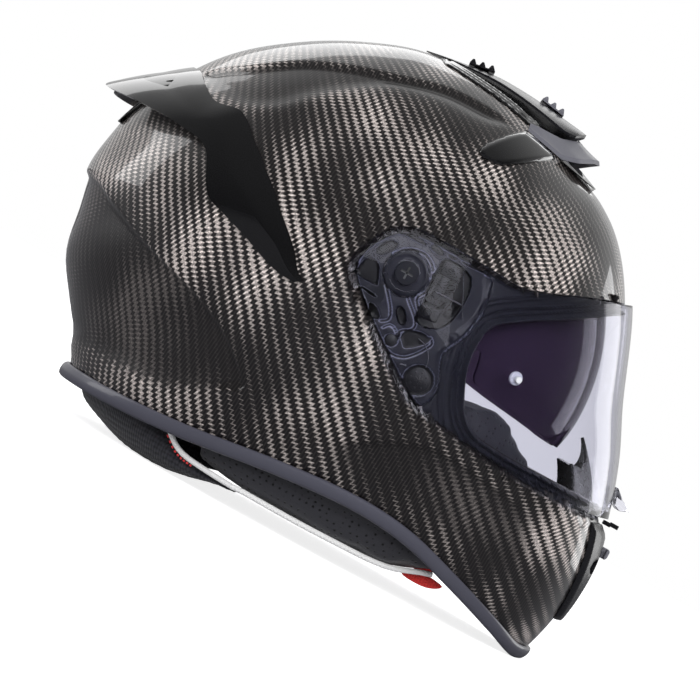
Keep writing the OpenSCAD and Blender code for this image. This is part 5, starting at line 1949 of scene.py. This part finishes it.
@dataclass
class CrownVent:
    """Crown vent: its base, its cover, the sliders, the brow scoop and the fins."""

    cover: tuple = (
        (-36, 248.5, 2.5, 0.2, 0.5), (-22, 250.7, 14, 1.1, 0.8), (0, 253.7, 24, 3.2, 2), (15, 253.8, 30, 4.6, 2),
        (30, 252.7, 33, 5.8, 2), (44, 250.8, 31, 6.4, 2), (51, 249.6, 24, 4.6, 2)
    )
    duct: tuple = ((-28, 244.6), (-12.8, 243), (10.8, 240), (27, 235.6), (48, 236), (58, 250), (0, 262), (-28, 256))
    scoop_rear: tuple = (
        (54, 0, 245.6), (53, 18, 243.4), (45, 35, 239.6), (37, 46, 238.6), (32, 51.5, 238.2), (27.5, 56, 237.4)
    )
    scoop_front: tuple = (
        (69.5, 0, 241), (66, 17, 239.4), (58.5, 34, 234.6), (50, 45, 231.4), (40, 53.5, 233), (28, 59, 235)
    )
    fin: tuple = ((11.7, 208.6), (11.2, 214), (18, 223.5), (26.1, 232.3), (30, 232.6), (49.3, 229.4), (40.5, 222.4),
                  (29.5, 213), (22.1, 208.4))

    def base(self) -> None:
        """Black channel with fine ridges along its edge."""
        hide = Hide((40, 125), (-32, 32), 1.6)
        duct = within(self.duct)
        hide.keep(duct)

        def lift(spots: Spots) -> Row:
            """Ridges at even heights above the edge."""
            gap = duct(spots)
            return 0.25 + sum(0.9 * np.exp(-((gap - k) / 0.45) ** 2) for k in (0.6, 2.2, 3.8))

        piece = place(hide.raise_to(lift), "vent_channel", Look.GLOSS_BLACK, "crown_vent_base", "gloss_black")
        thicken(piece, 0.6, edge=0)

    def cover_spot(self, u: Row, v: Row) -> Spots:
        """Give the points of the cover: its top, then its underside.

        Args:
            u: Places along it from 0 to 1.
            v: Places across and back from 0 to 1.

        Returns:
            The points.
        """
        row = along(self.cover, u)
        top = v < 0.5
        q = np.where(top, 4 * v - 1, 3 - 4 * v)
        lead = 5 * (1 - q * q) * ease(0.6, 1.0, u)
        z = row[:, 1] - row[:, 3] * q * q - np.where(top, 0, row[:, 4] * (1 - 0.4 * np.abs(q)))
        return np.stack([row[:, 0] + lead, row[:, 2] * q, z], axis=-1)

    def scoop_spot(self, u: Row, v: Row) -> Spots:
        """Give the points of the scoop: its top, then its underside.

        Args:
            u: Places from its right tip to its left from 0 to 1.
            v: Places forward and back from 0 to 1.

        Returns:
            The points.
        """
        along_it, top = np.abs(2 * u - 1), v < 0.5
        q = np.where(top, 2 * v, 2 - 2 * v)
        rear, front = self.edge(self.scoop_rear, along_it), self.edge(self.scoop_front, along_it)
        spots = rear + (front - rear) * q[:, None]
        spots[:, 1] *= np.where(u < 0.5, -1, 1)
        spots[:, 2] -= np.where(top, 0.5 * np.sin(np.pi * q), 1.7)
        return spots

    def edge(self, rows: tuple, at: Row) -> Spots:
        """Edge of the scoop, read along straight runs."""
        rows = np.asarray(rows, float)
        places = np.linspace(0, 1, len(rows))
        return np.stack([np.interp(at, places, column) for column in rows.T], axis=-1)

    def slider(self, name: str, at: tuple[float, float], tilt: float, look: Look, slot: str) -> None:
        """Make a slider: a sole, a foot and three ribs that lean back.

        Args:
            name: Which slider it is.
            at: Its place as [fore and aft, height].
            tilt: How far it leans forward in degrees.
            look: Its finish.
            slot: Material slot of the record.
        """
        sole = prism([(-7, 0.4), (7, 0.4), (6.6, 1.3), (-6.6, 1.3)], -9, 9, 0.3)
        ribs = [prism([(k - 2.0, 1.1), (k + 1.7, 1.1), (k + 0.1, 3.6), (k - 0.9, 3.4)], -8.6, 8.6, 0.35)
                for k in (-5, 0, 5)]
        bm = join([sole, block((-4, -2, -2), (4, 2, 0.8), 0.3), *ribs])
        turn = Matrix.Translation((at[0], 0, at[1])) @ Matrix.Rotation(math.radians(tilt), 4, "Y")
        bmesh.ops.transform(bm, matrix=turn, verts=bm.verts)
        place(bm, f"{name}_vent_slider", look, f"crown_slider_{name}", slot, f"crown_slider_{name}")

    def build(self) -> None:
        """Make every piece of the vent."""
        self.base()
        place(sheet(80, 72, self.cover_spot), "vent_cover", Look.SATIN_BLACK, "crown_vent_cover", "gloss_black",
              sharp=35)
        self.slider("front", (34, 252.6), 9, Look.SATIN_GREY, "grey_plastic")
        self.slider("rear", (-7, 253.2), -9, Look.SATIN_BLACK, "gloss_black")
        place(sheet(72, 24, self.scoop_spot), "brow_scoop", Look.SATIN_GREY, "scoop_plate", "grey_plastic",
              sharp=30)
        fin = Flank((8, 52), (205, 235), 0.9)
        outline = within(self.fin)
        fin.keep(outline)
        right = fin.raise_to(lambda s: 0.4 + 1.8 * ease(0, 2.2, outline(s)))
        for piece in place_pair(right, "brow_blade", Look.GLOSS_BLACK, "brow_fin", "gloss_black"):
            thicken(piece, 0.8, edge=0)
        dress("scoop_vanes", Look.GLOSS_BLACK, "gloss_black", 0.3)


@dataclass
class ChinVent:
    """Chin vent: body, slider, meshes and the catch of the face shield."""

    front: tuple = ((-1, 26), (15, 26.5), (20, 32), (28, 43), (35, 58), (43, 76), (43, 80), (-1, 80))
    port: tuple = ((9, 57), (26, 57), (26, 65), (9, 65))
    notch: tuple = ((-1, 61.5), (2.4, 61.5), (2.4, 74.5), (-1, 74.5))

    def build(self) -> None:
        """Make the vent."""
        hide = Hide((-52, -12), (-28, 28), 1.3)
        body = within(self.front, (1, 2), True)
        hide.keep(body)
        hide.trim(within(self.port, (1, 2), True))
        hide.trim(within(self.notch, (1, 2), True))

        def lift(spots: Spots) -> Row:
            """Bevelled plate with a fold from its upper corner to its foot."""
            fold = np.abs(spots[:, 1]) - (12 + 0.5 * (spots[:, 2] - 30))
            return 0.5 + 2.6 * ease(0, 3.0, body(spots)) + 1.3 * ease(6, -10, fold) * ease(0, 4, body(spots))

        piece = place(hide.raise_to(lift), "chin_vent", Look.SATIN_BLACK, "chin_vent_body", "black_plastic",
                      sharp=30)
        thicken(piece, 2.0, edge=0.3)
        dress("chin_vent_slider", Look.SATIN_GREY, "black_plastic", 0.5, "chin_slider")
        dress("chin_vent_mesh", Look.BLACK_ABS, "vent_mesh", 0.2)
        dress("visor_catch", Look.BLACK_ABS, "black_plastic", 0.5)


@dataclass
class Spoiler:
    """Rear spoiler: a wing over the middle and a blade down each side."""

    wing: tuple = (
        (161, 0, 169.5, 0, 13), (161, 9, 171.5, 8, 17), (160.8, 17, 174, 14, 22), (162, 26, 173, 28, 13),
        (163, 34.5, 172.4, 37, 7.5), (160.3, 42, 173.5, 46, 3.4), (163.4, 51, 183.8, 53.5, 1.6),
        (169, 60, 187, 58, 1.4), (176.5, 66.5, 191.5, 63, 1.4), (188.6, 72, 199, 68, 1.4),
        (209.5, 75.2, 210, 73.6, 1.3)
    )

    def spot(self, u: Row, v: Row) -> Spots:
        """Give the points of the spoiler.

        Args:
            u: Places from its right tip to its left from 0 to 1.
            v: Places round its section from 0 to 1.

        Returns:
            The points.
        """
        e = 2 * u - 1
        row = along(self.wing, np.abs(e))
        lift = np.maximum(row[:, 4], 1.3)
        heights = np.stack([0.3 + 0 * lift, np.maximum(0.3, lift - 2.0), lift, 1.7 + 0.35 * lift, 1.3 + 0 * lift],
                           axis=1)
        share = np.array([0.0, 1.0, 1.0, 0.5, 0.0])
        i = np.floor(v * 5).astype(int) % 5
        after, f, n = (i + 1) % 5, v * 5 - np.floor(v * 5), np.arange(len(u))
        k = share[i] * (1 - f) + share[after] * f
        off = heights[n, i] * (1 - f) + heights[n, after] * f
        out = (row[:, 1] * (1 - k) + row[:, 3] * k) * np.where(e < 0, -1, 1)
        return SKIN.point(row[:, 0] * (1 - k) + row[:, 2] * k, out, off)

    def build(self) -> None:
        """Make the spoiler and dress the grille."""
        place(sheet(200, 40, self.spot), "spoiler", Look.GLOSS_BLACK, "rear_spoiler", "gloss_black", sharp=35)
        dress("rear_exhaust_grille", Look.BLACK_ABS, "black_plastic", 0.3)


@dataclass(frozen=True)
class Lamp:
    """Soft rectangular lamp in metres, aimed at the helmet, that gloss mirrors or doesn't."""

    name: str
    at: tuple
    size: tuple
    power: float
    in_gloss: bool = True

    def hang_up(self, aim: Vector) -> None:
        """Put the lamp into the scene.

        Args:
            aim: Point that it faces.
        """
        data = bpy.data.lights.new(self.name, "AREA")
        data.shape, data.size, data.size_y, data.energy = "RECTANGLE", *self.size, self.power
        lamp = bpy.data.objects.new(self.name, data)
        bpy.context.scene.collection.objects.link(lamp)
        lamp.location, lamp.visible_glossy = self.at, self.in_gloss
        lamp.rotation_euler = (aim - Vector(self.at)).to_track_quat("-Z", "Y").to_euler()


@dataclass
class Studio:
    """Pale floor, soft lamps, white background and the photograph's camera."""

    roll: float = math.radians(28.8)
    lens_mm: float = 201.7
    camera_at: tuple = (0.0031, -2.0, 0.0958)
    aim: tuple = (0, 0, 0.12)
    floor_glow: float = 0.82
    lamps: tuple = (
        Lamp("overhead", (-0.504, 1.45, 1.044), (1.9, 0.6), 4.5),
        Lamp("front_strip", (1.2, 1.1, 0.3), (0.5, 1.2), 3.5),
        Lamp("rear_strip", (-1.4, 0.3, 0.5), (0.6, 1.0), 4.0),
        Lamp("side_fill", (0.2, -1.9, 0.9), (1.6, 1.2), 26.0, False),
        Lamp("back_fill", (-0.6, 1.8, 0.6), (1.2, 1.2), 12.0, False),
    )

    def floor(self) -> None:
        """Large white floor that keeps the helmet's shadow."""
        bm = bmesh.new()
        bmesh.ops.create_grid(bm, x_segments=1, y_segments=1, size=4.0)
        floor = hang(bm, "floor")
        made = bpy.data.materials.new("white_floor")
        made.use_nodes = True
        tree = made.node_tree
        shader = tree.nodes["Principled BSDF"]
        shader.inputs["Roughness"].default_value = 0.9
        path = add(tree, "LightPath").node
        hue = add(tree, "Mix", {0: path.outputs["Is Glossy Ray"], 6: colour("#e8e8ea"), 7: colour("#6c6c70")}, 2,
                  data_type="RGBA")
        tree.links.new(hue, shader.inputs["Base Color"])
        shine = add(tree, "Math", (self.seen(tree, path), self.floor_glow), operation="MULTIPLY")
        mix = add(tree, "AddShader", (shader.outputs[0], add(tree, "Emission", {"Strength": shine})))
        tree.links.new(mix, tree.nodes["Material Output"].inputs["Surface"])
        floor.data.materials.append(made)
        floor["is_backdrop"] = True

    def seen(self, tree: Tree, path: Node) -> Socket:
        """Tell what the camera sees, straight or through glass, from light on its way.

        Args:
            tree: Tree that takes the nodes.
            path: Its light path node.

        Returns:
            One for what is seen and nought for the rest.
        """
        turns = add(tree, "Math", (path.outputs["Diffuse Depth"], path.outputs["Glossy Depth"]), operation="ADD")
        first = add(tree, "Math", (turns, 0.5), operation="LESS_THAN")
        through = add(tree, "Math", (path.outputs["Is Transmission Ray"], first), operation="MULTIPLY")
        return add(tree, "Math", (path.outputs["Is Camera Ray"], through), operation="MAXIMUM")

    def world(self) -> None:
        """White to the camera and through glass, a graded studio to gloss, soft light to the rest."""
        world = bpy.data.worlds.new("studio")
        bpy.context.scene.world = world
        world.use_nodes = True
        tree = world.node_tree
        tree.nodes.clear()
        path = add(tree, "LightPath").node
        way = add(tree, "SeparateXYZ", (add(tree, "TexCoord", out="Generated"),)).node
        behind = add(tree, "MapRange", (way.outputs[1], 0.1, 0.95, 0.05, 0.55))
        above = add(tree, "MapRange", (way.outputs[2], 0.0, 1.0, 0.0, 0.12))
        studio = add(tree, "Math", (behind, above), operation="ADD")
        gloss = add(tree, "Mix", {0: path.outputs["Is Glossy Ray"], 2: 0.45, 3: studio})
        level = add(tree, "Mix", {0: self.seen(tree, path), 2: gloss, 3: 1.0})
        add(tree, "OutputWorld", (add(tree, "Background", ((1, 1, 1, 1), level)),))

    def camera(self) -> None:
        """Camera of the photograph: level with the helmet's middle, two metres off, rolled."""
        data = bpy.data.cameras.new("camera")
        data.sensor_width, data.lens = 36.0, self.lens_mm
        data.clip_start, data.clip_end = 0.1, 30.0
        camera = bpy.data.objects.new("camera", data)
        bpy.context.scene.collection.objects.link(camera)
        c, s = math.cos(self.roll), math.sin(self.roll)
        x, y, z = self.camera_at
        camera.matrix_world = Matrix(((c, -s, 0, x), (0, 0, -1, y), (s, c, 0, z), (0, 0, 0, 1)))
        bpy.context.scene.camera = camera

    def build(self) -> None:
        """Set up the studio."""
        self.floor()
        self.world()
        for lamp in self.lamps:
            lamp.hang_up(Vector(self.aim))
        self.camera()
        bpy.context.scene.view_settings.view_transform = "Standard"


PARTS = (Shell, Rim, FaceShield, PivotGear, SunShield, Liner, Pads, Strap, CrownVent, ChinVent, Spoiler)


def main() -> list:
    """Build the helmet's pieces in order.

    Returns:
        The box of the frame as first loaded.
    """
    logging.basicConfig(level=logging.INFO, format="%(name)s: %(message)s")
    FRAME.update(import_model())
    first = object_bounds()
    for part in PARTS:
        LOG.info("building %s", part.__name__)
        part().build()
    Studio().build()
    return first


if __name__ == "__main__":
    START_BOX = main()
